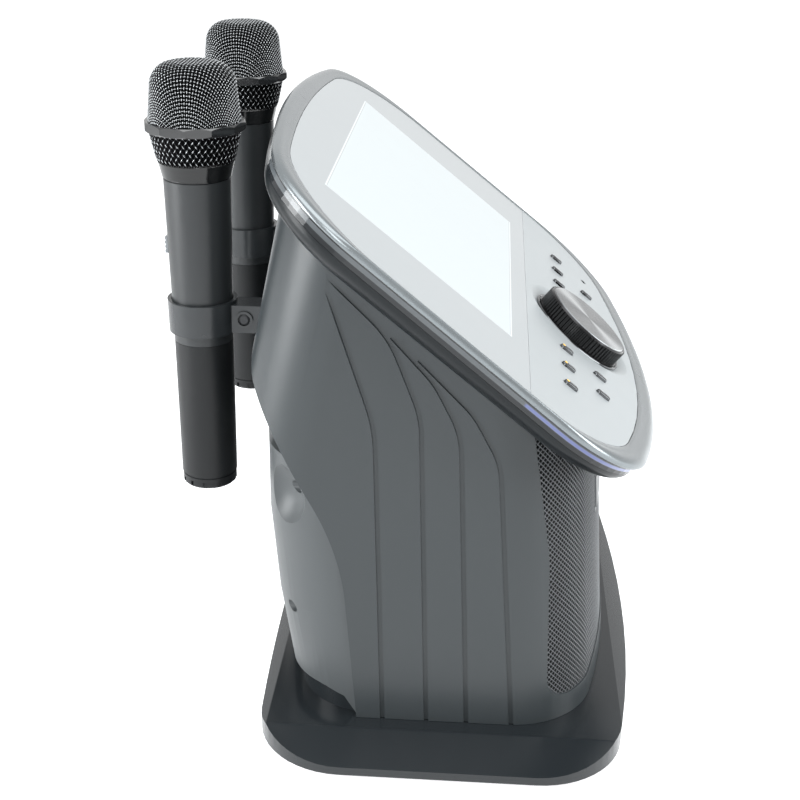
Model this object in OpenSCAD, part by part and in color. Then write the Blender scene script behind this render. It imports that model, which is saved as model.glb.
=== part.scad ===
// Table-top karaoke machine: a tilted screen console with a jog dial on a
// speaker cabinet, a motorised disc tray in its front and two cordless
// microphones in cradles on its back.
// The frame: X to the user's right, the front faces -Y, Z up, millimetres.
// The origin is on the table, under the middle of the base plate.

/* [Base plate] */
// Width of the base plate
base_w = 377; // [360:1:400]
// Distance from the middle of the base to the crown of its front edge
base_front = 112.5; // [108:0.5:118]
// Distance from the middle of the base to the crown of its rear edge
base_rear = 111; // [108:0.5:118]
// Corner radius of the base plate in plan
base_corner_r = 50; // [40:1:56]
// Height of the upright edge of the base plate
base_lip = 5; // [4:0.5:7]
// Height of the flat land that the cabinet stands on, above the table
foot_z = 14; // [12:0.5:18]
// Gap under the base plate that the rubber feet leave
base_lift = 2; // [1:0.5:3]
// Wall of the base moulding
base_wall = 3; // [2.4:0.2:4]
// Radius of a rubber foot
foot_r = 12; // [8:0.5:14]
// Distance of the feet from the middle, to each side
foot_x = 148; // [130:1:152]
// Distance of the feet from the middle, to front and rear
foot_y = 62; // [50:1:70]

/* [Cabinet] */
// Width over the two side walls
body_w = 303; // [290:1:310]
// Distance from the middle of the base to the crown of the cabinet front
body_front = 97.5; // [94:0.5:100]
// Corner radius of the cabinet front in plan
body_corner_r = 50; // [40:1:60]
// Wall of the cabinet moulding
wall = 3; // [2:0.25:4]
// Lean of the front face away from the upright, in degrees
front_lean = 4.4; // [0:0.2:6]
// Rear edge of the side wall at the foot
heel_y = 50.5; // [48:0.5:54]
// Height at which the rear edge starts to sweep backwards
heel_bend_z = 120.7; // [112:0.1:126]
// Backward lean of the rear edge below that bend
heel_lean = 9; // [6:0.5:12]
// Rearmost point of the side profile, the hip
hip_y = 112.5; // [106:0.5:116]
// Height of the hip
hip_z = 217; // [212:1:222]
// Radius of the neck's rear corners in plan
neck_r = 45; // [36:1:52]
// Width of a side groove
groove_w = 2.6; // [1.6:0.2:3.4]
// Depth of a side groove
groove_d = 1.3; // [0.8:0.1:1.8]
// Height of the lower edge of the grille opening
grille_z = 28; // [24:1:34]
// Rear edge of the grille opening at its foot
grille_y = -57.5; // [-64:0.5:-50]
// Clearance between mouldings that meet at a seam
seam = 0.2; // [0.1:0.05:0.3]

/* [Rear cover] */
// Distance from the middle of the base to the crown of the rear cover
cover_rear = 113.5; // [110:0.5:116]
// Step of the rear cover inside the cabinet's side walls
cover_step = 2.6; // [1.5:0.1:4]
// Height of the rear cover's upper edge
cover_top = 170; // [164:1:174]
// Height of the rear cover's lower edge, above the plinth
cover_foot = 29.2; // [24:0.2:34]
// Radius of the ball that forms each finger scoop
scoop_r = 24; // [20:1:28]
// Depth of each finger scoop
scoop_depth = 7; // [4:0.5:9]
// Radius of a jack's bore
jack_r = 3.25; // [3:0.05:3.5]
// Radius of the power inlet's bore
inlet_r = 2.75; // [2.5:0.05:3]
// Depth of a jack's bore
jack_depth = 16; // [12:1:18]

/* [Screen console] */
// Tilt of the console from the horizontal, in degrees
tilt = 38.8; // [36:0.2:42]
// Distance of the screen's centre behind the middle of the base
screen_y = 20.9; // [18:0.1:24]
// Height of the screen's centre
screen_z = 275.1; // [270:0.1:280]
// Width of the lit screen
screen_w = 222.5; // [210:0.5:230]
// Height of the lit screen
screen_h = 125.3; // [118:0.1:130]
// Width of the rim at its lower corners
rim_w = 353; // [345:1:360]
// Narrowing of the rim towards its upper corners, over both sides
rim_taper = 10; // [0:1:14]
// Reach of the rim above the screen's centre, up the slope
rim_up = 105.7; // [102:0.1:110]
// Reach of the rim below the screen's centre, down the slope
rim_down = 179.3; // [175:0.1:184]
// Corner radius of the rim
rim_r = 62; // [55:1:68]
// Width of the rim's flat beside the glass and control panel
panel_side = 4; // [3.5:0.1:9]
// Reach of the glass above the screen's centre
panel_up = 93.7; // [90:0.1:96]
// Reach of the control panel below the screen's centre
panel_down = 165.5; // [162:0.1:168]
// Distance of the joint between glass and control panel below the screen's centre
panel_joint = 76; // [70:0.5:80]
// Thickness of the glass
glass_t = 2.2; // [1.8:0.1:3]
// Depth of the metal rim
rim_t = 3.6; // [3.2:0.1:4.4]
// Height of the smoked light pipe under the rim
pipe_h = 3.2; // [2.6:0.1:4]
// Height of the black trim ring under the light pipe
trim_h = 2.6; // [2:0.1:3.4]
// Depth of the console's lower shell under the trim ring
tub_h = 11; // [9:0.2:14]
// Reach of the lit length of the light pipe above the console's lower edge
led_start = 77; // [60:1:90]

/* [Dial and buttons] */
// Distance of the dial's axis below the screen's centre
dial_v = 120; // [118:0.5:122]
// Radius of the dial's ribbed grip
dial_r = 30; // [27:0.5:31]
// Height of the dial over the panel
dial_h = 9; // [7:0.5:11]
// Number of ribs round the dial
dial_ribs = 72; // [48:4:90]
// Depth of the dial's ribs
rib_d = 0.8; // [0.5:0.1:1.2]
// Radius of the dished recess round the dial
recess_r = 39.5; // [38:0.5:41]
// Depth of the dished recess
recess_d = 2.5; // [2:0.1:3]
// Radius of the dial's shaft
shaft_r = 3; // [2.5:0.1:3.5]
// Radial running clearance of a shaft in its bore
run_fit = 0.06; // [0.02:0.01:0.1]
// Length of a button along the slope
button_l = 9.4; // [8:0.2:11]
// Width of a button
button_w = 4.2; // [3.6:0.2:5]
// Height of a button over the panel
button_h = 1.8; // [1.2:0.1:2.4]
// Travel of a button
button_travel = 0.8; // [0.5:0.1:1]
// Clearance of a button in the panel
button_fit = 0.25; // [0.15:0.05:0.35]
// Distance of the first button of a row from the middle
button_u = 60.2; // [58:0.2:62]
// Pitch of the buttons in a row
button_pitch = 27.2; // [24:0.2:28]
// Distance of the upper row below the screen's centre
row_1_v = 105.7; // [100:0.1:108]
// Distance of the lower row below the screen's centre
row_2_v = 131.5; // [128:0.1:136]

/* [Microphones] */
// Distance of each microphone's axis from the middle
mic_x = 76.5; // [70:0.5:80]
// Distance of the microphones' axes behind the middle of the base
mic_y = 145; // [143:0.5:148]
// Height of a microphone's lower end
mic_foot_z = 125.8; // [121:0.1:130]
// Largest radius of the wire basket
ball_r = 24.4; // [23:0.1:26]
// Radius of the wire basket's shoulder
shoulder_r = 12; // [9:0.5:14]
// Length of a microphone
mic_len = 243.5; // [238:0.5:249]
// Radius of the anti-roll ring
ring_r = 26.7; // [25.5:0.1:28]
// Radius of the collar's upper end
collar_r = 20.8; // [19:0.1:22]
// Radius of the handle at its upper end
handle_r = 18.4; // [17:0.1:19]
// Radius of the handle at its lower end
tail_r = 16; // [15:0.1:16.4]
// Height of the cradle's ring
clip_h = 18.5; // [16:0.5:22]
// Height of the cradle's lower edge
clip_z = 220.8; // [218:0.1:225]
// Wall of the cradle's ring
clip_t = 2.2; // [1.8:0.1:3]
// Clearance of a microphone in its cradle
clip_fit = 0.35; // [0.2:0.05:0.5]
// Width of a cradle's arm
arm_w = 16; // [12:1:20]

/* [Disc drive] */
// Height of the tray's underside above the table
tray_z = 122; // [118:1:124]
// Width of the tray
tray_w = 132; // [128:1:136]
// Thickness of the tray
tray_t = 6; // [5:0.5:7]
// Distance between the tray's rear end and the cover's inner face
tray_clear = 12.5; // [10:0.5:18]
// Travel of the tray
tray_travel = 146; // [120:1:146]
// Width of the tray's front
front_w = 146; // [142:1:150]
// Height of the tray's front
front_h = 20; // [18:0.5:22]
// Radius of the disc well
well_r = 60.5; // [60.2:0.1:61]
// Tooth module of the rack and gears
gear_m = 1; // [0.8:0.1:1]
// Teeth on the tray pinion
pinion_teeth = 16; // [14:1:18]
// Teeth on the large gear under the pinion
wheel_teeth = 36; // [30:1:40]
// Teeth on the motor gear
motor_teeth = 12; // [12:1:14]
// Backlash between meshing teeth
backlash = 0.25; // [0.15:0.05:0.35]
// Radius of a speaker cone with its surround
cone_r = 33; // [30:1:34]
// Distance of each speaker's axis from the middle
speaker_x = 84; // [80:1:86]
// Height of the speakers' axes
speaker_z = 68; // [64:1:69]

/* [Hidden] */

fine = 64;
far = 400;
half = body_w / 2;

// Colours as the photograph shows them
dark = [0.22, 0.24, 0.25];
dark_gloss = [0.06, 0.07, 0.08];
silver = [0.70, 0.74, 0.76];
pale = [0.87, 0.89, 0.90];
smoke = [0.22, 0.25, 0.30];
steel = [0.75, 0.76, 0.77];
board_green = [0.10, 0.32, 0.20];

// Points of an arc
function arc(c, r, a0, a1, n) =
    [for (i = [0:n]) c + r * [cos(a0 + (a1 - a0) * i / n), sin(a0 + (a1 - a0) * i / n)]];

// A closed outline of four corners joined by bowed front and rear edges and
// straight sides. y_f and y_r are the crowns, w_f and w_r the widths at the
// corners, r_f and r_r the corner radii, b_f and b_r the bow radii, and g
// grows the outline evenly. The points run anticlockwise from the rear right.
function corner_x(w, r) = w / 2 - r;
function corner_y(y, w, r, b) = y - b + sqrt((b - r) * (b - r) - pow(corner_x(w, r), 2));
function bowed(y_f, w_f, r_f, b_f, y_r, w_r, r_r, b_r, g = 0, nc = 12, nb = 10) =
    let (
        xf = corner_x(w_f, r_f),
        xr = corner_x(w_r, r_r),
        yf = -corner_y(y_f, w_f, r_f, b_f),
        yr = corner_y(y_r, w_r, r_r, b_r),
        d = norm([xf - xr, yr - yf]),
        skew = atan2(xf - xr, yr - yf) + asin((r_f - r_r) / d),
        af = asin(xf / (b_f - r_f)),
        ar = asin(xr / (b_r - r_r)))
    concat(
        arc([xr, yr], r_r + g, skew, 90 - ar, nc),
        [for (i = [1:nb - 1]) [0, y_r - b_r]
            + (b_r + g) * [sin(ar - 2 * ar * i / nb), cos(ar - 2 * ar * i / nb)]],
        arc([-xr, yr], r_r + g, 90 + ar, 180 - skew, nc),
        arc([-xf, yf], r_f + g, 180 - skew, 270 - af, nc),
        [for (i = [1:nb - 1]) [0, b_f - y_f]
            + (b_f + g) * [sin(-af + 2 * af * i / nb), -cos(-af + 2 * af * i / nb)]],
        arc([xf, yf], r_f + g, 270 + af, 360 + skew, nc));

// A polygon or open path whose corners [x, y, r] are rounded to their radius r
function unit(v) = v / norm(v);
function bend(p, q, s, n) =
    let (
        c = [q[0], q[1]],
        u = unit([p[0], p[1]] - c),
        v = unit([s[0], s[1]] - c),
        h = acos(max(-1, min(1, u * v))) / 2,
        r = q[2],
        m = c + unit(u + v) * r / sin(h),
        e0 = c + u * r / tan(h) - m,
        a0 = atan2(e0[1], e0[0]),
        turn = (u[0] * v[1] - u[1] * v[0]) > 0 ? -1 : 1,
        sweep = turn * (180 - 2 * h))
    r == 0 ? [c] : arc(m, r, a0, a0 + sweep, n);
function rounded(pts, n = 8) =
    [for (i = [0:len(pts) - 1])
        each bend(pts[(i + len(pts) - 1) % len(pts)], pts[i], pts[(i + 1) % len(pts)], n)];
function rounded_path(pts, n = 8) =
    concat([[pts[0][0], pts[0][1]]],
        [for (i = [1:len(pts) - 2]) each bend(pts[i - 1], pts[i], pts[i + 1], n)],
        [[pts[len(pts) - 1][0], pts[len(pts) - 1][1]]]);
// A band of width w along an open path
function side_of(path, i) =
    let (
        a = path[max(i - 1, 0)],
        b = path[min(i + 1, len(path) - 1)],
        t = unit(b - a))
    [-t[1], t[0]];
function band(path, w) =
    concat(
        [for (i = [0:len(path) - 1]) path[i] + side_of(path, i) * w / 2],
        [for (i = [len(path) - 1:-1:0]) path[i] - side_of(path, i) * w / 2]);

// A polygon of [y, z] points pushed through the whole width
module across(pts, x0 = -far, x1 = far) {
    translate([x0, 0, 0]) rotate([90, 0, 90]) linear_extrude(x1 - x0) polygon(pts);
}

// The console's own frame: X across, Y up the slope, Z out of the glass
module on_console() {
    translate([0, screen_y, screen_z]) rotate([tilt, 0, 0]) children();
}
// [y, z] of a point v down the slope and h out of the glass
function console_yz(v, h) = [screen_y - cos(tilt) * v - sin(tilt) * h,
    screen_z - sin(tilt) * v + cos(tilt) * h];

// Outlines of the base, the cabinet and the console
function base_outline(g = 0) = bowed(base_front, base_w, base_corner_r, 950,
    base_rear, base_w, base_corner_r, 2400, g);
function body_outline(g = 0) = bowed(body_front, body_w, body_corner_r, 480,
    body_rear, body_w, 32, 600, g);
cover_corner_r = 46;
function cover_outline(g = 0, crown = cover_rear) = bowed(body_front, body_w - 2 * cover_step, body_corner_r, 480,
    crown, body_w - 2 * cover_step, cover_corner_r, 600, g);
function rim_outline(g = 0) = bowed(rim_down, rim_w, rim_r, 480,
    rim_up, rim_w - rim_taper, rim_r, 720, g);
panel_w = rim_w - 2 * panel_side;
function panel_outline(g = 0) = bowed(panel_down, panel_w, 62, 440,
    panel_up, panel_w - 8, 75, 1007, g);
function tub_outline(g = 0) = bowed(tub_down, tub_w, 45, 480,
    tub_up, tub_w, 45, 720, g);
body_rear = hip_y + 12;
tub_w = body_w + 5;
tub_up = rim_up - 22;
tub_down = rim_down - 23.6;

// Levels in the console's own frame
pipe_top = -rim_t - seam;
trim_top = pipe_top - pipe_h - seam;
tub_top = trim_top - trim_h - seam;
tub_floor = tub_top - tub_h;
housing_top = tub_floor - seam;

// BASE

// A low dome over the base outline, cut off flat at the land
module base_dome(g, drop) {
    rx = (base_w * base_w / 4 - pow(half + 8, 2)) / 2 / (foot_z - base_lift - base_lip);
    ry = (base_front * base_front - pow(body_front + 1.5, 2)) / 2 / (foot_z - base_lift - base_lip);
    edge = base_lift + base_lip - drop;
    intersection() {
        translate([0, 0, base_lift - 1]) linear_extrude(foot_z - drop - base_lift + 1) polygon(base_outline(g));
        translate([0, far / 2, edge - sqrt(rx * rx - base_w * base_w / 4)])
            rotate([90, 0, 0]) cylinder(r = rx, h = far, $fn = fine);
        translate([-far / 2, 0, edge - sqrt(ry * ry - base_front * base_front)])
            rotate([0, 90, 0]) cylinder(r = ry, h = far, $fn = fine);
    }
}

// Four feet near the corners and one in the middle
module foot_places() {
    for (sx = [-1, 1], sy = [-1, 1]) translate([sx * foot_x, sy * foot_y, 0]) children();
    children();
}

// The low wall on the base that the rear cover's edge stands over
module plinth() {
    intersection() {
        difference() {
            cover_walls(-3);
            cover_walls(-6);
        }
        across([[heel_y, foot_z - 1.5], [far, foot_z - 1.5], [far, cover_foot - 2 * seam],
            [heel_y + 20, cover_foot - 2 * seam], [heel_y + 7.5, cover_foot - 4 - 2 * seam], [heel_y, foot_z]]);
        behind_housing();
    }
}

module base_plate() {
    rib = base_wall - 0.6;
    color(dark) plinth();
    color(dark) difference() {
        intersection() {
            base_dome(0, 0);
            translate([-far, -far, base_lift]) cube([2 * far, 2 * far, far]);
        }
        difference() {
            base_dome(-base_wall, base_wall);
            for (x = [-120, -60, 0, 60, 120]) translate([x - rib / 2, -far, 0]) cube([rib, 2 * far, far]);
            for (y = [-60, 0, 60]) translate([-far, y - rib / 2, 0]) cube([2 * far, rib, far]);
            foot_places() cylinder(r = foot_r + base_wall, h = far, $fn = fine);
        }
        foot_places() translate([0, 0, base_lift - 1]) cylinder(r = foot_r + seam, h = 3, $fn = fine);
    }
}

module rubber_feet() {
    color([0.08, 0.08, 0.08]) foot_places() rotate_extrude($fn = fine)
        polygon([[0, 0], [foot_r - 1, 0], [foot_r, 1], [foot_r, base_lift + 2], [0, base_lift + 2]]);
}

// CABINET

// The cabinet's plan, with its front half leaning back
module body_prism(pts) {
    translate([0, 0, foot_z]) rotate([-front_lean, 0, 0]) translate([0, 0, -30])
        linear_extrude(far) intersection() {
            polygon(pts);
            translate([-far, -far]) square([2 * far, far + 12]);
        }
    linear_extrude(far) intersection() {
        polygon(pts);
        translate([-far, 0]) square([2 * far, far]);
    }
}

// The side profile: heel, long sweep, hip and the back of the neck
function neck_top() = console_yz(-tub_up + 7, housing_top);
function sweep_points(s = 0) = [
    [heel_y + s, foot_z + seam, 0],
    [heel_y + heel_lean + s, heel_bend_z, 150],
    [hip_y + s, hip_z, 24],
    [neck_top()[0] + s, neck_top()[1], 0]];
function body_profile(s = 0, low = 0, high = 0) = rounded(concat(
    [[-base_front, foot_z + seam - low, 0], [heel_y + s, foot_z + seam - low, 0]],
    [for (i = [low == 0 ? 1 : 0:2]) sweep_points(s)[i]],
    [[neck_top()[0] + s, neck_top()[1], 0]],
    high == 0 ? [] : [[neck_top()[0] + s, neck_top()[1] + high, 0]],
    [concat(console_yz(rim_down + 20, housing_top + high), [0])]), 14);

// The neck leans forward above the hip, with rounded rear corners
neck_lean = atan((hip_y - neck_top()[0]) / (neck_top()[1] - hip_z));
module neck_prism(g) {
    w = half + g + 0.05;
    translate([0, hip_y, hip_z]) rotate([neck_lean, 0, 0]) translate([0, 0, -far]) linear_extrude(2 * far)
        polygon(rounded([[-w, -far, 0], [w, -far, 0], [w, g + 0.05, neck_r + g], [-w, g + 0.05, neck_r + g]], 16));
}

module body_solid(g, s, low, high) {
    intersection() {
        body_prism(body_outline(g));
        across(body_profile(s, low, high));
        neck_prism(g);
    }
}

// The opening that the grille fills, seen from the side
function grille_points(g = 0) = rounded([
    [-far, grille_z - g, 0],
    [grille_y + g, grille_z - g, 14],
    [grille_y + 3 + g, 118, 120],
    [grille_y + 18 + g, 212, 0],
    concat(console_yz(rim_down + 200, housing_top - 5 + g), [0])], 10);

// The four grooves of each side wall: foot, two bends and end
function groove_points() = [
    [[35.5, foot_z, 0], [41, 196, 90], [74, 296, 0]],
    [[10.5, foot_z, 0], [16.8, 203, 60], [34, 247, 60], [78, 290, 0]],
    [[-12.3, foot_z, 0], [-4.3, 194, 50], [10, 222, 60], [48, 264, 0]],
    [[-38, foot_z, 0], [-25.5, 178, 45], [-11, 205, 50], [28, 245, 0]]];

module side_grooves() {
    for (g = groove_points(), s = [-1, 1])
        across(band(rounded_path(g), groove_w),
            s > 0 ? half - groove_d : -half - 1, s > 0 ? half + 1 : -half + groove_d);
}

module main_housing() {
    color(dark) difference() {
        body_solid(0, 0, 0, 0);
        body_solid(-wall, -wall * 1.06, 20, 20);
        across(grille_points());
        side_grooves();
        translate([-half + 28, 0, 34]) cube([body_w - 56, far, cover_top - 48]);
        cover_screw_bores(screw_r + 0.05, 0, far);
    }
}

// REAR COVER

// Top and bottom of the cover, seen from the side
function cover_profile(g = 0) = rounded([
    [heel_y - 20, foot_z + seam - g, 0],
    [heel_y, foot_z + seam - g, 0],
    [heel_y + 7.5, cover_foot - 4 - g, 0],
    [heel_y + 20, cover_foot - g, 30],
    [far, cover_foot - g, 0],
    [far, cover_top - 10 + g, 0],
    [cover_rear + 2 + g, cover_top - 10 + g, 12],
    [cover_rear - 12 + g, cover_top + g, 5],
    [heel_y - 20, cover_top + g, 0]], 10);

// The cover's walls: three prisms that lean further the lower they lie.
// Each is [lean, crown, height of the crown].
cover_prisms = [[0, cover_rear + 0.3, 0], [5, cover_rear - 2.6, 100], [8.9, cover_rear - 11, 40]];
module cover_walls(g) {
    intersection_for(p = cover_prisms)
        translate([0, 0, p[2]]) rotate([-p[0], 0, 0]) translate([0, 0, -far])
        linear_extrude(2 * far) polygon(cover_outline(g, p[1]));
}

// What lies behind the cabinet's own rear wall
module behind_housing() {
    difference() {
        translate([-far, 0, 0]) cube([2 * far, far, far]);
        across(body_profile(seam, 2));
    }
}

module cover_solid(g) {
    intersection() {
        cover_walls(g);
        across(cover_profile(g));
    }
}

// The scoops are balls let into the cover's rounded rear corners
scoop_z = 147;
scoop_turn = 46;
scoop_x = corner_x(body_w - 2 * cover_step, cover_corner_r)
    + (cover_corner_r + scoop_r - scoop_depth) * cos(scoop_turn);
scoop_y = corner_y(cover_rear, body_w - 2 * cover_step, cover_corner_r, 600)
    + (cover_corner_r + scoop_r - scoop_depth) * sin(scoop_turn);
module scoop_places() {
    for (s = [-1, 1]) translate([s * scoop_x, scoop_y, scoop_z]) children();
}

// Straight parts of the cabinet's rear wall at a height
function sweep_y(z) = z < heel_bend_z
    ? heel_y + heel_lean * (z - foot_z) / (heel_bend_z - foot_z)
    : heel_y + heel_lean + (hip_y - heel_y - heel_lean) * (z - heel_bend_z) / (hip_z - heel_bend_z);
cover_screw_x = half - 20;
screw_places = [for (s = [-1, 1], z = [74, 150]) [s * cover_screw_x, z]];
screw_seat = 5;
screw_r = 1.6;
screw_head_r = 3.2;

module cover_screw_bores(r, y0, y1) {
    for (p = screw_places) translate([p[0], y0, p[1]]) rotate([-90, 0, 0]) cylinder(r = r, h = y1 - y0, $fn = fine);
}

// The sockets let into the rear cover
jack_z = 44;
jack_places = [[-46, jack_r], [-26, jack_r], [-8, inlet_r]];
jack_block_x = [-57, 3];
jack_block_h = 18;
jack_face_y = cover_rear - 16;
module jack_window(c, deep) {
    translate([jack_block_x[0] - c, jack_face_y - jack_depth - 3, jack_z - jack_block_h / 2 - c])
        cube([jack_block_x[1] - jack_block_x[0] + 2 * c, deep, jack_block_h + 2 * c]);
}

module rear_cover() {
    color([0.42, 0.44, 0.45]) difference() {
        intersection() {
            union() {
                difference() {
                    cover_solid(0);
                    cover_solid(-wall);
                }
                intersection() {
                    cover_solid(0);
                    union() {
                        scoop_places() sphere(r = scoop_r + wall, $fn = fine);
                        cover_screw_bores(screw_head_r + 2.2, 30, cover_rear + 10);
                    }
                }
            }
            behind_housing();
        }
        scoop_places() sphere(r = scoop_r, $fn = fine);
        cover_screw_bores(screw_r + seam, 0, far);
        for (p = screw_places) translate([p[0], sweep_y(p[1]) + screw_seat, p[1]])
            rotate([-90, 0, 0]) cylinder(r = screw_head_r + seam, h = far, $fn = fine);
        jack_window(seam, far);
    }
}

module cover_screws() {
    color(steel) for (p = screw_places) translate([p[0], sweep_y(p[1]) + screw_seat + seam / 2, p[1]])
        rotate([-90, 0, 0]) rotate_extrude($fn = fine)
        polygon([[0, -11], [screw_r, -11], [screw_r, 0], [screw_head_r, 0],
            [screw_head_r, 1], [screw_head_r - 1, 2.2], [0, 2.2]]);
}

// Three sockets side by side in the one window
jack_edges = [jack_block_x[0], -36, -17, jack_block_x[1]];
module jack_block() {
    color(dark_gloss) difference() {
        for (i = [0:2]) translate([jack_edges[i] + seam / 4, jack_face_y - jack_depth - 3, jack_z - jack_block_h / 2])
            cube([jack_edges[i + 1] - jack_edges[i] - seam / 2, jack_depth + 3, jack_block_h]);
        for (j = jack_places) translate([j[0], jack_face_y - jack_depth, jack_z])
            rotate([-90, 0, 0]) cylinder(r = j[1], h = far, $fn = fine);
    }
}

// FRONT: baffle, grille, loudspeakers

// y of the leaning, bowed front at a place, g outside it
function front_y(x, g, z) = (480 - body_front - sqrt(pow(480 + g, 2) - x * x)) / cos(front_lean)
    + (z - foot_z) * tan(front_lean);
baffle_g = -wall - seam;
speaker_turn = asin(speaker_x / (480 + baffle_g));
speaker_seat = 6;

// Local frame on the baffle's outer face, Z out of the cabinet
module at_speakers() {
    for (s = [-1, 1]) translate([s * speaker_x, front_y(speaker_x, baffle_g, speaker_z), speaker_z])
        rotate([0, 0, s * speaker_turn]) rotate([90 - front_lean, 0, 0]) children();
}

module tray_opening(c) {
    translate([-front_w / 2 - c, -far, tray_mid_z - front_h / 2 - c])
        cube([front_w + 2 * c, far, front_h + 2 * c]);
}
tray_mid_z = tray_z + tray_t / 2;

module front_baffle() {
    color(dark) difference() {
        intersection() {
            difference() {
                body_prism(body_outline(baffle_g));
                difference() {
                    body_prism(body_outline(baffle_g - wall));
                    at_speakers() translate([0, 0, -speaker_seat]) cylinder(r = cone_r + 7, h = 60, $fn = fine);
                }
            }
            across([[-far, foot_z + seam], [grille_y + 10, foot_z + seam],
                console_yz(110, housing_top - seam), console_yz(rim_down + 200, housing_top - seam)]);
        }
        at_speakers() translate([0, 0, -60]) cylinder(r = cone_r, h = 120, $fn = fine);
        tray_opening(seam);
    }
}

module speaker_grille() {
    color(steel) difference() {
        intersection() {
            difference() {
                body_prism(body_outline(-0.8));
                body_prism(body_outline(-1.8));
            }
            across(grille_points(-seam));
            across([[-far, 0], [20, 0], console_yz(0, housing_top - seam), console_yz(rim_down + 200, housing_top - seam)]);
        }
        tray_opening(seam * 3);
    }
}

module speaker_frames() {
    magnet_r = 24;
    flange = cone_r + 6;
    back = -speaker_seat - seam;
    color([0.15, 0.15, 0.16]) at_speakers() translate([0, 0, back]) rotate_extrude($fn = fine)
        polygon([[0, -41], [magnet_r, -41], [magnet_r, -21], [flange - 5, -3], [flange, -3], [flange, 0],
            [cone_r + 0.5, 0], [cone_r + 0.5, -1.4], [cone_r - 2.5, -3], [18, -18.5], [0, -18.5]]);
}

module speaker_cones() {
    color([0.10, 0.10, 0.11]) at_speakers() translate([0, 0, -speaker_seat - seam]) rotate_extrude($fn = fine)
        polygon([[cone_r - 0.1, 0.4], [cone_r - 1.6, 2], [cone_r - 3.6, 2.6], [cone_r - 5.6, 2], [cone_r - 7.2, 0.4],
            [14, -13.4], [10, -11], [5, -9.6], [0, -9.2], [0, -10.2], [5, -10.6], [9.8, -12], [13.8, -14.6],
            [cone_r - 6.6, -0.8], [cone_r - 5.4, 0.9], [cone_r - 3.6, 1.6], [cone_r - 1.8, 0.9], [cone_r - 0.8, -0.6],
            [cone_r - 0.1, -0.6]]);
}

// CONSOLE SHELLS

// A closed loop of rings, skinned round the console. Each ring is a list of
// points [u, y, h]; the last ring joins the first.
module ring_skin(rings) {
    n = len(rings[0]);
    k = len(rings);
    polyhedron([for (r = rings) each r],
        [for (j = [0:k - 1], i = [0:n - 1])
            each let (a = j * n + i, b = j * n + (i + 1) % n,
                c = ((j + 1) % k) * n + (i + 1) % n, d = ((j + 1) % k) * n + i)
                [[a, b, c], [a, c, d]]]);
}
function level(pts, h) = [for (p = pts) [p[0], p[1], h]];
function blend_ring(p, q, t, h) = [for (i = [0:len(p) - 1]) concat(p[i] * (1 - t) + q[i] * t, [h])];

// The lower shell: wall and lip under the trim ring, rounded in to the cabinet
module head_tub() {
    rim = rim_outline(-3);
    low = tub_outline();
    rim_in = rim_outline(-3 - wall);
    low_in = tub_outline(-wall);
    color(dark) on_console() ring_skin([
        level(rim, tub_top),
        blend_ring(rim, low, 0.10, tub_top - tub_h * 0.26),
        blend_ring(rim, low, 0.32, tub_top - tub_h * 0.56),
        blend_ring(rim, low, 0.62, tub_top - tub_h * 0.82),
        blend_ring(rim, low, 1, tub_floor),
        level(tub_outline(-22), tub_floor),
        level(tub_outline(-22), tub_floor + wall),
        blend_ring(rim_in, low_in, 0.93, tub_floor + wall),
        blend_ring(rim_in, low_in, 0.58, tub_top - tub_h * 0.68),
        blend_ring(rim_in, low_in, 0.28, tub_top - tub_h * 0.44),
        blend_ring(rim_in, low_in, 0.07, tub_top - tub_h * 0.20),
        level(rim_in, tub_top)]);
}

module console_ring(g_out, g_in, h_low, h_high) {
    on_console() translate([0, 0, h_low]) linear_extrude(h_high - h_low) difference() {
        polygon(rim_outline(g_out));
        polygon(rim_outline(g_in));
    }
}

module trim_ring() {
    color(dark_gloss) console_ring(-2.8, -3 - wall, tub_top + seam, trim_top);
}

module light_pipe() {
    color(smoke) console_ring(-2, -7, trim_top + seam, pipe_top);
}

module led_strip() {
    color([0.55, 0.60, 0.90]) intersection() {
        console_ring(-7 - seam, -8.4 - seam, trim_top + seam + 0.3, pipe_top - 0.3);
        on_console() translate([-far, -far - led_start, -50]) cube([2 * far, far, 100]);
    }
}

// The metal rim: ledge for the glass, rounded lip, upright outer edge
module rim_bezel() {
    inner = panel_outline(0.3);
    outer = rim_outline();
    ledge = panel_outline(-6);
    color(silver) on_console() ring_skin([
        level(ledge, -rim_t),
        level(rim_outline(-0.8), -rim_t),
        level(outer, -rim_t + 0.8),
        blend_ring(inner, outer, 0.97, -1.2),
        blend_ring(inner, outer, 0.84, -0.1),
        blend_ring(inner, outer, 0.60, 0.7),
        blend_ring(inner, outer, 0.32, 0.5),
        level(inner, 0),
        level(inner, -glass_t - seam),
        level(ledge, -glass_t - seam)]);
}

module panel_sheet(v_from, v_to) {
    on_console() translate([0, 0, -glass_t]) linear_extrude(glass_t) intersection() {
        polygon(panel_outline(0));
        translate([-far, -v_to]) square([2 * far, v_to - v_from]);
    }
}

module display_glass() {
    color(pale) panel_sheet(-far, panel_joint - seam / 2);
}

lcd_border = 7;
lcd_t = 5;
module lcd_panel() {
    color([0.93, 0.96, 0.98]) on_console() translate([-screen_w / 2 - lcd_border,
        -screen_h / 2 - lcd_border, -glass_t - lcd_t - seam / 2])
        cube([screen_w + 2 * lcd_border, screen_h + 2 * lcd_border, lcd_t]);
}

// CONTROLS

// Left and right, upper row of three and lower row of two
button_places = [for (s = [-1, 1]) each concat(
    [for (i = [0:2]) [s * (button_u + i * button_pitch), row_1_v]],
    [for (i = [0:1]) [s * (button_u + i * button_pitch), row_2_v]])];
receiver_u = button_u + 2 * button_pitch + 3;
receiver_s = 3.4;
board_top = -8.2;
board_t = 1.6;
post_places = [[-140, 112], [-30, 86], [30, 86], [140, 112]];

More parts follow.
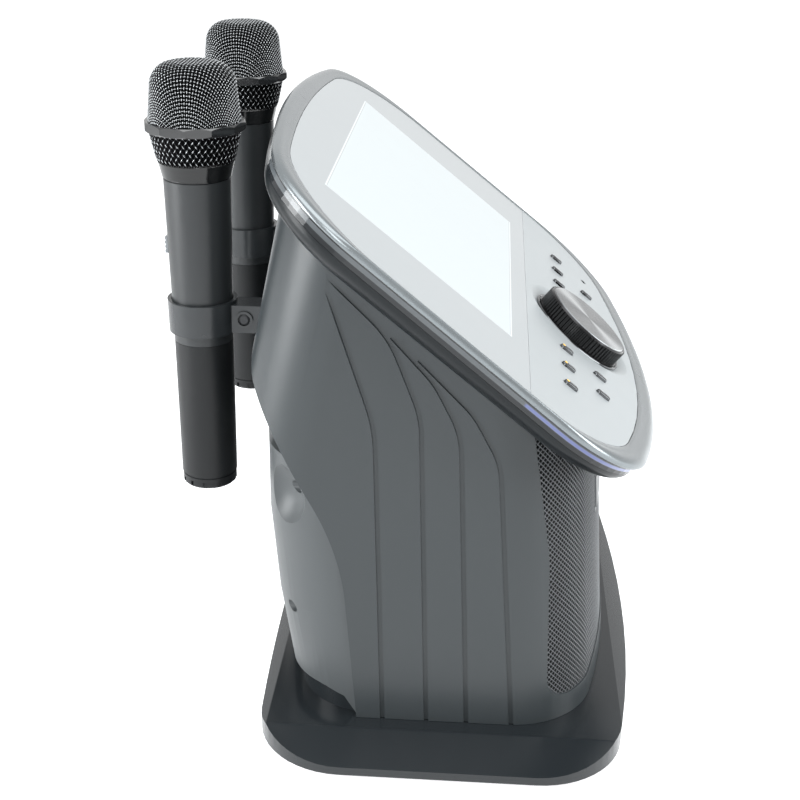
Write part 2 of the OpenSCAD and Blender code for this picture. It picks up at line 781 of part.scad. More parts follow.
module button_outline(g) {
    w = button_w + 2 * g;
    l = button_l + 2 * g;
    translate([-w / 2, -l / 2 + w / 2]) square([w, l - w]);
    for (s = [-1, 1]) translate([0, s * (l / 2 - w / 2)]) circle(d = w, $fn = fine);
}

module dish() {
    rotate_extrude($fn = 128) polygon([[0, 1], [recess_r + 1, 1], [recess_r, 0], [recess_r - 1.2, -0.35],
        [dial_r + 3.6, -recess_d + 0.3], [dial_r + 3, -recess_d], [0, -recess_d]]);
}

module control_panel() {
    boss_r = dial_r + 6;
    boss_h = 5;
    color(pale) difference() {
        union() {
            panel_sheet(panel_joint + seam / 2, far);
            on_console() {
                translate([0, -dial_v, -boss_h]) cylinder(r = boss_r, h = boss_h - 0.5, $fn = fine);
                for (p = post_places) translate([p[0], -p[1], board_top + seam / 2])
                    cylinder(r = 3, h = -board_top - glass_t, $fn = fine);
            }
        }
        on_console() {
            translate([0, -dial_v, 0]) dish();
            translate([0, -dial_v, -20]) cylinder(r = encoder_neck_r + seam, h = 40, $fn = fine);
            for (b = button_places) translate([b[0], -b[1], -glass_t - 1])
                linear_extrude(glass_t + 2) button_outline(button_fit);
            translate([receiver_u, -row_2_v, -glass_t - 1]) rotate([0, 0, 45])
                translate([-receiver_s / 2 - seam, -receiver_s / 2 - seam, 0])
                cube([receiver_s + 2 * seam, receiver_s + 2 * seam, 10]);
        }
    }
}

module receiver_window() {
    color(dark_gloss) on_console() translate([receiver_u, -row_2_v, board_top + seam / 2]) rotate([0, 0, 45])
        translate([-receiver_s / 2, -receiver_s / 2, 0]) cube([receiver_s, receiver_s, -board_top - seam / 2]);
}

encoder_neck_r = 4.5;
module control_board() {
    color(board_green) on_console() difference() {
        union() {
            translate([0, 0, board_top - board_t]) linear_extrude(board_t) intersection() {
                polygon(panel_outline(-16));
                translate([-150, -150]) square([300, 68]);
            }
            translate([-7, -dial_v - 7, board_top - board_t - 6]) cube([14, 14, 6]);
            translate([0, -dial_v, board_top]) cylinder(r = encoder_neck_r, h = 4.6, $fn = fine);
            for (b = button_places) translate([b[0], -b[1], board_top]) {
                translate([-3, -3, 0]) cube([6, 6, 2.6]);
                cylinder(r = 1.6, h = -board_top - 3.2 - button_travel - 0.1, $fn = fine);
            }
        }
        translate([0, -dial_v, -40]) cylinder(r = shaft_r + run_fit, h = 60, $fn = fine);
    }
}

module dial_ring() {
    color(steel) on_console() translate([0, -dial_v, -recess_d + 0.1]) rotate_extrude($fn = 128)
        polygon([[dial_r + 1.4, 0], [dial_r + 2.8, 0], [dial_r + 2.8, 0.6], [dial_r + 2.3, 1.2], [dial_r + 1.8, 1.2],
            [dial_r + 1.4, 0.8]]);
}

// Ribs round the grip: pairs of crest and valley points on two circles
function ribbed(r, d, n) = [for (i = [0:n - 1], k = [0:3])
    let (a = 360 * (i + [0.10, 0.40, 0.56, 0.94][k]) / n, q = k < 2 ? r : r - d) q * [cos(a), sin(a)]];

module dial_knob() {
    low = -recess_d + 0.3;
    cap_seat = dial_h - 0.8;
    color(dark_gloss) on_console() translate([0, -dial_v, 0]) difference() {
        union() {
            translate([0, 0, low + 1.2]) linear_extrude(dial_h - 1 - low - 1.2) polygon(ribbed(dial_r, rib_d, dial_ribs));
            translate([0, 0, low]) cylinder(r = dial_r + 0.8, h = 1.2, $fn = 128);
            translate([0, 0, dial_h - 1]) cylinder(r1 = dial_r - rib_d, r2 = dial_r - rib_d - 0.6, h = 1, $fn = 128);
        }
        translate([0, 0, cap_seat]) cylinder(r = dial_r - 2, h = 10, $fn = 128);
        difference() {
            translate([0, 0, low - 1]) cylinder(r = dial_r - 3.4, h = cap_seat - 2.4 - low + 1, $fn = 128);
            cylinder(r = shaft_r + 3, h = 40, $fn = fine);
        }
        translate([0, 0, low - 1]) cylinder(r = shaft_r + seam / 4, h = cap_seat - low - 0.6, $fn = fine);
    }
}

module dial_cap() {
    color(silver) on_console() translate([0, -dial_v, dial_h - 0.8 + seam / 4]) rotate_extrude($fn = 128)
        polygon([[0, 0], [dial_r - 2.1, 0], [dial_r - 2.1, 0.7], [dial_r - 2.5, 1.1], [0, 1.1]]);
}

module dial_shaft() {
    color(steel) on_console() translate([0, -dial_v, board_top - board_t - 5]) cylinder(r = shaft_r,
        h = dial_h - 0.8 - 1.8 - board_top + board_t + 5, $fn = fine);
}

module button(i) {
    color(steel) on_console() translate([button_places[i][0], -button_places[i][1], 0]) {
        translate([0, 0, -3.2]) linear_extrude(button_h + 3.2) button_outline(0);
        translate([0, 0, -3.2]) linear_extrude(0.8) button_outline(0.9);
    }
}
module button_1() { button(0); }
module button_2() { button(1); }
module button_3() { button(2); }
module button_4() { button(3); }
module button_5() { button(4); }
module button_6() { button(5); }
module button_7() { button(6); }
module button_8() { button(7); }
module button_9() { button(8); }
module button_10() { button(9); }

// DISC DRIVE

tray_back = cover_rear - wall - tray_clear;
tray_bridge = 26;
disc_y = -20;
rack_x = 53;
pinion_x = rack_x - gear_m * pinion_teeth / 2;
pinion_y = -61;
motor_y = pinion_y + gear_m * (wheel_teeth + motor_teeth) / 2;
post_r = 2;
deck_z = 98;
deck_t = 2.5;
guide_in = tray_w / 2 + 0.5;
traverse_w = 46;
traverse_z = 108;
pivot_y = disc_y + 78;
rod_r = 1.5;
rod_x = 16;
rod_l = 60;
rod_z = traverse_z + 7;

// An involute gear outline, a tooth centred on +X
function inv_angle(r, rb) = r <= rb ? 0 : tan(acos(rb / r)) * 180 / PI - acos(rb / r);
function gear_outline(n, m) =
    let (
        rp = m * n / 2,
        rb = rp * cos(20),
        ra = rp + m * 0.95,
        rf = rp - m * 1.2,
        w = 90 / n - backlash / 2 / rp * 180 / PI / 2 + inv_angle(rp, rb),
        rs = [for (k = [0:4]) max(rb, rf) + (ra - max(rb, rf)) * k / 4])
    [for (i = [0:n - 1])
        each concat(
            [rf * [cos(360 / n * i - w), sin(360 / n * i - w)]],
            [for (r = rs) let (a = 360 / n * i - w + inv_angle(r, rb)) r * [cos(a), sin(a)]],
            [for (k = [4:-1:0]) let (r = rs[k], a = 360 / n * i + w - inv_angle(r, rb)) r * [cos(a), sin(a)]],
            [rf * [cos(360 / n * i + w), sin(360 / n * i + w)]])];

// Rack teeth pointing to -X, a gap centred on the pinion's height y
rack_count = floor((tray_travel + 10) / (PI * gear_m));
function rack_outline() =
    let (
        p = PI * gear_m,
        tip = p / 4 - backlash / 4 - tan(20) * gear_m * 0.95,
        root = p / 4 - backlash / 4 + tan(20) * gear_m * 1.2)
    concat([[rack_x + 7, pinion_y - p], [rack_x + gear_m * 1.2, pinion_y - p]],
        [for (i = [0:rack_count - 1]) let (y = pinion_y - p / 2 + i * p)
            each [[rack_x + gear_m * 1.2, y - root], [rack_x - gear_m * 0.95, y - tip],
                [rack_x - gear_m * 0.95, y + tip], [rack_x + gear_m * 1.2, y + root]]],
        [[rack_x + gear_m * 1.2, pinion_y + rack_count * p - p / 4],
            [rack_x + 7, pinion_y + rack_count * p - p / 4]]);

module disc_tray() {
    color([0.12, 0.12, 0.13]) {
        difference() {
            intersection() {
                translate([-tray_w / 2, tray_back - far, tray_z]) cube([tray_w, far, tray_t]);
                body_prism(body_outline(-wall - seam));
            }
            translate([0, disc_y, tray_z + tray_t - 3]) cylinder(r = well_r, h = 10, $fn = 128);
            translate([-traverse_w / 2 - 1, disc_y, tray_z - 1]) cube([traverse_w + 2, tray_back - tray_bridge - disc_y, 20]);
            translate([-traverse_w / 2 - 1, disc_y - 24, tray_z - 1]) cube([traverse_w + 2, 40, 20]);
            translate([0, disc_y, tray_z - 1]) cylinder(r = traverse_w / 2 + 1, h = 20, $fn = fine);
        }
        translate([0, 0, tray_z - 6]) linear_extrude(6) polygon(rack_outline());
    }
}

module tray_front() {
    color(dark) {
        intersection() {
            difference() {
                body_prism(body_outline(0));
                body_prism(body_outline(-wall));
            }
            tray_opening(-seam * 1.5);
            translate([-far, -far, 0]) cube([2 * far, far - 40, far]);
        }
    }
}

module tray_pinion() {
    color([0.85, 0.85, 0.80]) translate([pinion_x, pinion_y, 0]) difference() {
        union() {
            translate([0, 0, tray_z - 6.5]) linear_extrude(6) polygon(gear_outline(pinion_teeth, gear_m));
            translate([0, 0, tray_z - 12]) linear_extrude(4) rotate(90) polygon(gear_outline(wheel_teeth, gear_m));
            translate([0, 0, tray_z - 12]) cylinder(r = 5, h = 6, $fn = fine);
        }
        cylinder(r = post_r + run_fit, h = far, $fn = fine);
    }
}

module motor_gear() {
    color([0.85, 0.85, 0.80]) translate([pinion_x, motor_y, tray_z - 12.3]) difference() {
        linear_extrude(4.6) rotate(270 + 180 / motor_teeth) polygon(gear_outline(motor_teeth, gear_m));
        translate([0, 0, -1]) cylinder(r = 1.2 + run_fit, h = 10, $fn = fine);
    }
}

module loading_motor() {
    color(steel) translate([pinion_x, motor_y, deck_z - seam / 2]) {
        translate([0, 0, -16]) cylinder(r = 11, h = 16, $fn = fine);
        cylinder(r = 3, h = deck_t + 2, $fn = fine);
        cylinder(r = 1.2, h = tray_z - 8 - deck_z, $fn = fine);
    }
}

// The deck that carries the drive: floor, side walls with tray guides, legs
module drive_chassis() {
    y0 = -70;
    y1 = tray_back + 1;
    top = tray_z + tray_t + 3;
    color([0.30, 0.31, 0.32]) {
        difference() {
            translate([-guide_in - 3, y0, deck_z]) cube([2 * guide_in + 6, y1 - y0, deck_t]);
            translate([-18, disc_y - 20, deck_z - 1]) cube([36, 60, 10]);
            translate([pinion_x, motor_y, deck_z - 1]) cylinder(r = 3 + seam, h = 10, $fn = fine);
        }
        for (s = [-1, 1]) {
            translate([s > 0 ? guide_in : -guide_in - 3, y0, deck_z]) cube([3, y1 - y0, top - deck_z]);
            translate([s > 0 ? guide_in - 4 : -guide_in, y0, tray_z - 3]) cube([4, y1 - y0, 3 - seam]);
            translate([s > 0 ? guide_in - 4 : -guide_in, y0, tray_z + tray_t + seam]) cube([4, y1 - y0, 3 - seam]);
        }
        for (p = [[-40, -58], [40, -58], [-60, 42], [60, 42]]) translate([p[0], p[1], foot_z + seam / 2])
            cylinder(r = 4.5, h = deck_z - foot_z, $fn = fine);
        translate([pinion_x, pinion_y, deck_z]) {
            cylinder(r = 4.5, h = tray_z - 12.3 - deck_z, $fn = fine);
            cylinder(r = post_r, h = tray_z - deck_z - 0.5, $fn = fine);
        }
        for (s = [-1, 1]) difference() {
            translate([s * (traverse_w / 2 + 2.5) - 2, pivot_y - 4, deck_z]) cube([4, 8, traverse_z - deck_z + 5]);
            translate([-far, pivot_y, traverse_z + 1]) rotate([0, 90, 0]) cylinder(r = 2 + run_fit, h = 2 * far, $fn = fine);
        }
    }
}

// The rising frame that carries the spindle and the laser
module traverse_frame() {
    color([0.20, 0.21, 0.22]) {
        difference() {
            translate([-traverse_w / 2, disc_y - 22, traverse_z]) cube([traverse_w, pivot_y - disc_y + 25, 3]);
            translate([-rod_x + 3, disc_y + 16, traverse_z - 1]) cube([2 * rod_x - 6, rod_l - 20, 10]);
            translate([0, disc_y, traverse_z - 1]) cylinder(r = 3, h = 10, $fn = fine);
        }
        difference() {
            union() {
                translate([-traverse_w / 2, disc_y + 12, traverse_z + 3]) cube([traverse_w, 3, 6]);
                translate([-traverse_w / 2, disc_y + 9 + rod_l, traverse_z + 3]) cube([traverse_w, 3, 6]);
            }
            for (s = [-1, 1]) translate([s * rod_x, -far, rod_z]) rotate([-90, 0, 0])
                cylinder(r = rod_r + run_fit, h = 2 * far, $fn = fine);
            translate([0, disc_y, traverse_z + 3.1]) cylinder(r = 16, h = 10, $fn = fine);
        }
        translate([-traverse_w / 2 - 4.4, pivot_y, traverse_z + 1]) rotate([0, 90, 0])
            cylinder(r = 2, h = traverse_w + 8.8, $fn = fine);
    }
}

module spindle_motor() {
    color(steel) translate([0, disc_y, 0]) difference() {
        union() {
            translate([0, 0, traverse_z - 12]) cylinder(r = 13, h = 12 - seam / 2, $fn = fine);
            translate([0, 0, traverse_z - 12]) cylinder(r = 2.8, h = 15, $fn = fine);
        }
        translate([0, 0, traverse_z - 10]) cylinder(r = 1.2 + run_fit, h = far, $fn = fine);
    }
}

module disc_hub() {
    color([0.10, 0.10, 0.10]) translate([0, disc_y, 0]) {
        translate([0, 0, tray_z - 4.5]) cylinder(r = 14, h = 1.6, $fn = fine);
        translate([0, 0, tray_z - 3]) cylinder(r1 = 7.3, r2 = 6, h = 2.5, $fn = fine);
        translate([0, 0, traverse_z - 9.8]) cylinder(r = 1.2, h = tray_z - 4.5 - traverse_z + 10, $fn = fine);
    }
}

module sled_rods() {
    color(steel) for (s = [-1, 1]) translate([s * rod_x, disc_y + 12, rod_z]) rotate([-90, 0, 0])
        cylinder(r = rod_r, h = rod_l, $fn = fine);
}

sled_l = 16;
module laser_sled() {
    color([0.16, 0.17, 0.18]) difference() {
        union() {
            translate([-rod_x - 4, disc_y + 15.3, rod_z - 3.2]) cube([2 * rod_x + 8, sled_l, 5.4]);
            translate([-7, disc_y + 17, rod_z - 3.2]) cube([14, 12, 7]);
            translate([0, disc_y + 23, rod_z]) cylinder(r = 3.4, h = 5.2, $fn = fine);
        }
        for (s = [-1, 1]) translate([s * rod_x, -far, rod_z]) rotate([-90, 0, 0])
            cylinder(r = rod_r + run_fit, h = 2 * far, $fn = fine);
    }
}

// MAIN BOARD

board_w = 104;
board_front = -40;
board_back = heel_y - wall - 3;
module main_board() {
    color(board_green) {
        translate([-board_w / 2, board_front, foot_z + 8]) cube([board_w, board_back - board_front, 1.6]);
        for (x = [-1, 1], y = [board_front + 6, board_back - 6])
            translate([x * (board_w / 2 - 6), y, foot_z + seam / 2]) cylinder(r = 3, h = 8.5, $fn = fine);
        translate([-36, -20, foot_z + 9]) cube([30, 30, 4]);
        translate([6, -24, foot_z + 9]) cube([36, 14, 26]);
        for (i = [0:2]) translate([14 + 14 * i, 24, foot_z + 9]) cylinder(r = 5, h = 18, $fn = fine);
    }
}

// MICROPHONES

function mic_z(f) = mic_foot_z + f;
handle_top = mic_len - 61.5;
collar_top = mic_len - 51;
ring_z = mic_len - 32.5;
shoulder_x = ball_r - 1.9 - shoulder_r;
joint_z = 89;
joint_r = tail_r + 0.6;
function handle_at(f) = joint_r + (handle_r - joint_r) * (f - joint_z) / (handle_top - joint_z);

module at_mics(sides = [-1, 1]) {
    for (s = sides) translate([s * mic_x, mic_y, mic_foot_z]) children();
}

// The wire basket, a thin shell: lower cone, belt, rounded shoulder, flat top
module mic_mesh(s) {
    t = 1.2;
    color([0.30, 0.31, 0.32]) at_mics([s]) rotate_extrude($fn = fine) polygon(concat(
        [[collar_r - 0.2, collar_top + seam], [ball_r, ring_z - 2.5], [ball_r - 0.1, ring_z + 2.5]],
        arc([shoulder_x, mic_len - shoulder_r], shoulder_r, 0, 90, 10),
        [[0, mic_len], [0, mic_len - t]],
        arc([shoulder_x, mic_len - shoulder_r], shoulder_r - t, 90, 0, 10),
        [[ball_r - t - 0.1, ring_z + 2.5], [ball_r - t, ring_z - 2.5], [collar_r - 1.6, collar_top + seam]]));
}

module mic_ring(s) {
    corner = ring_r / cos(15);
    color(dark_gloss) at_mics([s]) difference() {
        intersection() {
            translate([0, 0, ring_z - 2.5]) cylinder(r = corner, h = 5, $fn = 12);
            rotate_extrude($fn = fine) polygon([[0, ring_z - 3], [corner - 1.5, ring_z - 3], [corner + 0.1, ring_z - 1.4],
                [corner + 0.1, ring_z + 1.4], [corner - 1.5, ring_z + 3], [0, ring_z + 3]]);
        }
        translate([0, 0, ring_z - 10]) cylinder(r = ball_r + 0.1, h = 20, $fn = fine);
    }
}

switch_f = 148;
module mic_handle(s) {
    color([0.20, 0.20, 0.21]) at_mics([s]) difference() {
        rotate_extrude($fn = fine) polygon([[12, joint_z + seam], [joint_r, joint_z + seam], [handle_r, handle_top],
            [handle_r - 0.6, handle_top + 0.4], [handle_r - 0.6, handle_top + 1], [handle_r + 0.5, handle_top + 1.4],
            [collar_r, collar_top - 1], [collar_r - 0.6, collar_top], [0, collar_top], [0, collar_top - 3],
            [14.2, collar_top - 3], [14.2, joint_z + 9], [12, joint_z + 8]]);
        translate([0, 0, joint_z - 1]) cylinder(r = 14.4, h = 9, $fn = fine);
        translate([-3.8, handle_at(switch_f) - 2, switch_f - 9]) cube([7.6, 10, 18]);
    }
}

module mic_tail(s) {
    color([0.17, 0.17, 0.18]) at_mics([s]) difference() {
        rotate_extrude($fn = fine) polygon([[0, 0], [tail_r - 1.6, 0], [tail_r - 0.4, 1.2], [tail_r - 0.4, 6],
            [tail_r - 0.9, 6.4], [tail_r - 0.9, 7], [tail_r, 7.4], [joint_r, joint_z], [14.2, joint_z],
            [14.2, joint_z + 7], [12.4, joint_z + 7], [12.4, 10], [0, 10]]);
        for (a = [0:30:330]) rotate([0, 0, a]) translate([tail_r - 1.4, -1.2, -1]) cube([4, 2.4, 5]);
    }
}

module mic_capsule(s) {
    color(steel) at_mics([s]) rotate_extrude($fn = fine) polygon([[0, collar_top + 0.1], [9, collar_top + 0.1],
        [11, collar_top + 8], [13, collar_top + 8], [13, collar_top + 22], [12, collar_top + 23], [0, collar_top + 23]]);
}

module mic_switch(s) {
    color(silver) at_mics([s]) difference() {
        translate([-3.4, handle_at(switch_f) - 1.7, switch_f - 8.4]) cube([6.8, 2.9, 9]);
        for (i = [0:2]) translate([-5, handle_at(switch_f) + 0.7, switch_f - 6.6 + 2.4 * i]) cube([10, 2, 1]);
    }
}
module mic_left_mesh() { mic_mesh(-1); }
module mic_left_ring() { mic_ring(-1); }
module mic_left_handle() { mic_handle(-1); }
module mic_left_tail() { mic_tail(-1); }
module mic_left_capsule() { mic_capsule(-1); }
module mic_left_switch() { mic_switch(-1); }
module mic_right_mesh() { mic_mesh(1); }
module mic_right_ring() { mic_ring(1); }
module mic_right_handle() { mic_handle(1); }
module mic_right_tail() { mic_tail(1); }
module mic_right_capsule() { mic_capsule(1); }
module mic_right_switch() { mic_switch(1); }

// CRADLES

clip_f = clip_z - mic_foot_z;
arm_mid = clip_f + clip_h / 2 - 0.7;
module mic_cradles() {
    r1 = handle_at(clip_f) + clip_fit;
    r2 = handle_at(clip_f + clip_h) + clip_fit;
    gap = 34;
    color(dark) at_mics() difference() {
        union() {
            translate([0, 0, clip_f]) cylinder(r1 = r1 + clip_t, r2 = r2 + clip_t, h = clip_h, $fn = fine);
            for (a = [-gap, gap]) rotate([0, 0, a]) translate([r2 + clip_t + 0.2, 0, clip_f])
                cylinder(r = 1.8, h = clip_h, $fn = fine);
            difference() {
                translate([-arm_w / 2, -mic_y + hip_y - 20, clip_f + 0.5])
                    cube([arm_w, mic_y - hip_y + 20, clip_h - 2.5]);
                translate([0, -mic_y, -mic_foot_z]) across(body_profile(seam));
            }
            translate([-arm_w / 2 - 1.2, (hip_y - mic_y - r1) / 2, arm_mid]) rotate([0, 90, 0])
                cylinder(r = 5, h = 4, $fn = fine);
        }
        translate([0, 0, clip_f - 0.01]) cylinder(r1 = r1, r2 = r2, h = clip_h + 0.02, $fn = fine);
        translate([0, 0, clip_f - 1]) linear_extrude(clip_h + 2)
            polygon([[0, 0], far * [cos(gap), -sin(gap)], far * [cos(gap), sin(gap)]]);
        translate([-arm_w / 2 - 3, (hip_y - mic_y - r1) / 2, arm_mid]) rotate([0, 90, 0])
            cylinder(r = screw_head_r + 0.3, h = 3.4, $fn = fine);
    }
}

module cradle_screws() {
    color(steel) at_mics() translate([-arm_w / 2 + 0.37, (hip_y - mic_y - handle_at(clip_f) - clip_fit) / 2, arm_mid])
        rotate([0, -90, 0]) rotate_extrude($fn = fine)
        polygon([[0, 0], [screw_head_r, 0], [screw_head_r, 0.8], [screw_head_r - 1, 1.5], [0, 1.5]]);
}

base_plate();
rubber_feet();
main_housing();
rear_cover();
cover_screws();
jack_block();
front_baffle();
speaker_grille();
speaker_frames();
speaker_cones();
head_tub();
trim_ring();
light_pipe();
led_strip();
rim_bezel();
display_glass();
lcd_panel();
control_panel();
control_board();
dial_ring();
receiver_window();
main_board();
dial_knob();
dial_cap();
dial_shaft();
button_1();
button_2();
button_3();
button_4();
button_5();
button_6();
button_7();
button_8();
button_9();
button_10();
drive_chassis();
disc_tray();
tray_front();
tray_pinion();
loading_motor();
motor_gear();
traverse_frame();
spindle_motor();
disc_hub();
laser_sled();
sled_rods();
mic_cradles();
cradle_screws();
mic_left_mesh();
mic_left_ring();
mic_left_handle();
mic_left_tail();
mic_left_capsule();
mic_left_switch();
mic_right_mesh();
mic_right_ring();
mic_right_handle();
mic_right_tail();
mic_right_capsule();
mic_right_switch();
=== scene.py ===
"""Looks of the table-top karaoke machine: lights, camera, materials and the
pieces that are finer than the solids. Metres; +X right, -Y front, +Z up."""

import math

import bpy
import numpy as np
from mathutils import Matrix, Vector


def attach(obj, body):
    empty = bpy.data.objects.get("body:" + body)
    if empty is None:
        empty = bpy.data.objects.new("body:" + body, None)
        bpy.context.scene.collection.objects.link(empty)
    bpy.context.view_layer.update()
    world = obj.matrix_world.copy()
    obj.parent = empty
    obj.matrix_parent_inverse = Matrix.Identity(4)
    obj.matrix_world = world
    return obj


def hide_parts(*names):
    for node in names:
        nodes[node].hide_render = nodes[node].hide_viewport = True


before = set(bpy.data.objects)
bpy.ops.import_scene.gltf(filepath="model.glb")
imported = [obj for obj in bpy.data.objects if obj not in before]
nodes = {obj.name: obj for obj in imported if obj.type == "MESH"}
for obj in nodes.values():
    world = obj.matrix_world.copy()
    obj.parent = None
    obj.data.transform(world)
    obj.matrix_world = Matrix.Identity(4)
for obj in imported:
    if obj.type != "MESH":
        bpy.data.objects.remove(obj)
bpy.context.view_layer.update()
scene = bpy.context.scene

# ---------------------------------------------------------------- camera

PHOTO_PX = 800
FOCAL_PX = 1386.7
CAMERA_PLACE = (-0.8094, -0.0134, 0.4924)


def aim_camera():
    """The photograph's camera: 23 degrees down, a little off square to the left side."""
    pitch, yaw, roll = math.radians(23.0), math.radians(3.6), math.radians(0.8)
    level_x, level_y = math.cos(pitch) * math.cos(yaw), math.cos(pitch) * math.sin(yaw)
    ahead = Vector((level_x, level_y, -math.sin(pitch)))
    side = Vector((math.sin(yaw), -math.cos(yaw), 0))
    up = side.cross(ahead)
    right = side * math.cos(roll) + up * math.sin(roll)
    above = up * math.cos(roll) - side * math.sin(roll)
    cam = bpy.data.cameras.new("camera")
    cam.sensor_width = 36
    cam.lens = FOCAL_PX / PHOTO_PX * 36
    cam.clip_end = 50
    obj = bpy.data.objects.new("camera", cam)
    m = Matrix((right, above, -ahead)).transposed().to_4x4()
    m.translation = Vector(CAMERA_PLACE)
    obj.matrix_world = m
    scene.collection.objects.link(obj)
    scene.camera = obj


aim_camera()
scene.view_settings.view_transform = "Standard"
scene.view_settings.look = "None"

# ---------------------------------------------------------------- shapes, in mm

# The console's tilt and the middle of its screen, the origin of its own frame
TILT = math.radians(38.8)
CT, ST = math.cos(TILT), math.sin(TILT)
SCREEN_Y, SCREEN_Z = 20.9, 275.1
# Half the lit screen's width and height
SCREEN_HALF_W, SCREEN_HALF_H = 111.25, 62.65
# The dial's axis below the screen's middle
DIAL_V = 120
# The cabinet: half its width, the lean, reach, bow and corner radius of its front
HALF = 151.5
FRONT_LEAN = math.radians(4.4)
FRONT_Y, FRONT_BOW, FRONT_CORNER = 97.5, 480.0, 50.0
BASE_TOP = 14
# The underside of the shell below the console, out of the glass
TUB_FLOOR = -21.1
# The microphones: axes' distance from the middle, place in depth, height of their feet
MIC_X, MIC_Y, MIC_FOOT = 76.5, 145.0, 125.8
# Where a handle's collar starts, from the microphone's foot
COLLAR_F = 182.1


def arc(cx, cy, r, a0, a1, n):
    """Points c + r (cos a, sin a) for n + 1 angles from a0 to a1, in degrees."""
    a = np.radians(np.linspace(a0, a1, n + 1))
    return np.c_[cx + r * np.cos(a), cy + r * np.sin(a)]


def bowed(y_f, w_f, r_f, b_f, y_r, w_r, r_r, b_r, g=0.0, nc=28, nb=40):
    """Closed outline of four corner arcs r joined by bowed edges of radius b, grown by g."""
    xf, xr = w_f / 2 - r_f, w_r / 2 - r_r
    yf = -(y_f - b_f + math.sqrt((b_f - r_f) ** 2 - xf**2))
    yr = y_r - b_r + math.sqrt((b_r - r_r) ** 2 - xr**2)
    d = math.hypot(xf - xr, yr - yf)
    skew = math.degrees(math.atan2(xf - xr, yr - yf) + math.asin((r_f - r_r) / d))
    af, ar = math.degrees(math.asin(xf / (b_f - r_f))), math.degrees(math.asin(xr / (b_r - r_r)))
    return np.vstack(
        [
            arc(xr, yr, r_r + g, skew, 90 - ar, nc),
            arc(0, y_r - b_r, b_r + g, 90 - ar, 90 + ar, nb)[1:-1],
            arc(-xr, yr, r_r + g, 90 + ar, 180 - skew, nc),
            arc(-xf, yf, r_f + g, 180 - skew, 270 - af, nc),
            arc(0, b_f - y_f, b_f + g, 270 - af, 270 + af, nb)[1:-1],
            arc(xf, yf, r_f + g, 270 + af, 360 + skew, nc),
        ]
    )


def rim_outline(g=0.0):
    """The rim's outer edge, grown by g."""
    return bowed(179.3, 353, 62, 480, 105.7, 343, 62, 720, g)


def panel_outline(g=0.0):
    """The edge of glass and control panel, grown by g."""
    return bowed(165.5, 345, 62, 440, 93.7, 337, 75, 1007, g)


def tub_outline(g=0.0):
    """The lower edge of the shell under the console, grown by g."""
    return bowed(155.7, 308, 45, 480, 83.7, 308, 45, 720, g)


def console(p):
    """(u, s, h), across, up the slope and out of the glass, to x, y, z in metres."""
    u, s, h = np.asarray(p, float).T
    return np.c_[u, SCREEN_Y + CT * s - ST * h, SCREEN_Z + ST * s + CT * h] / 1000


def piece(name, verts, faces, body, material, replaces=(), smooth=True, angle=None):
    """One mesh object at the origin that rides on a body."""
    mesh = bpy.data.meshes.new(name)
    mesh.from_pydata(np.asarray(verts).tolist(), [], [f for part in faces for f in part.tolist()])
    mesh.validate()
    mesh.update()
    if smooth:
        mesh.shade_smooth()
        if angle:
            mesh.set_sharp_from_angle(angle=math.radians(angle))
    obj = bpy.data.objects.new(name, mesh)
    scene.collection.objects.link(obj)
    mesh.materials.append(material)
    if replaces:
        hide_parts(*replaces)
    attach(obj, body)
    return obj


def skin(rings, closed=True):
    """Quads between rings of equal length; closed joins the last ring to the first."""
    n, k = len(rings[0]), len(rings)
    j, i = np.arange(k if closed else k - 1)[:, None], np.arange(n)[None, :]
    a, b, m = j * n, (j + 1) % k * n, (i + 1) % n
    quads = np.stack(np.broadcast_arrays(a + i, a + m, b + m, b + i), -1)
    return np.vstack(rings), [quads.reshape(-1, 4)]


def fan(ring, hub):
    """Triangles from a closed ring of indices to one hub."""
    return np.c_[ring, np.roll(ring, -1), np.full(len(ring), hub)]


def level(outline, h):
    """An outline lifted to height h."""
    return np.c_[outline, np.full(len(outline), h)]


def blend(a, b, t, h):
    """The outline a (1 - t) + b t at height h."""
    return level(a * (1 - t) + b * t, h)


def turned(profile, centre, n):
    """Rings of a surface of revolution about Z through centre, from [r, z] points."""
    a = np.linspace(0, 2 * math.pi, n, endpoint=False)
    x, y = np.cos(a), np.sin(a)
    rings = [np.c_[r * x, r * y, np.full(n, z)] for r, z in profile]
    return [(ring + centre) / 1000 for ring in rings]


# ---------------------------------------------------------------- node helpers


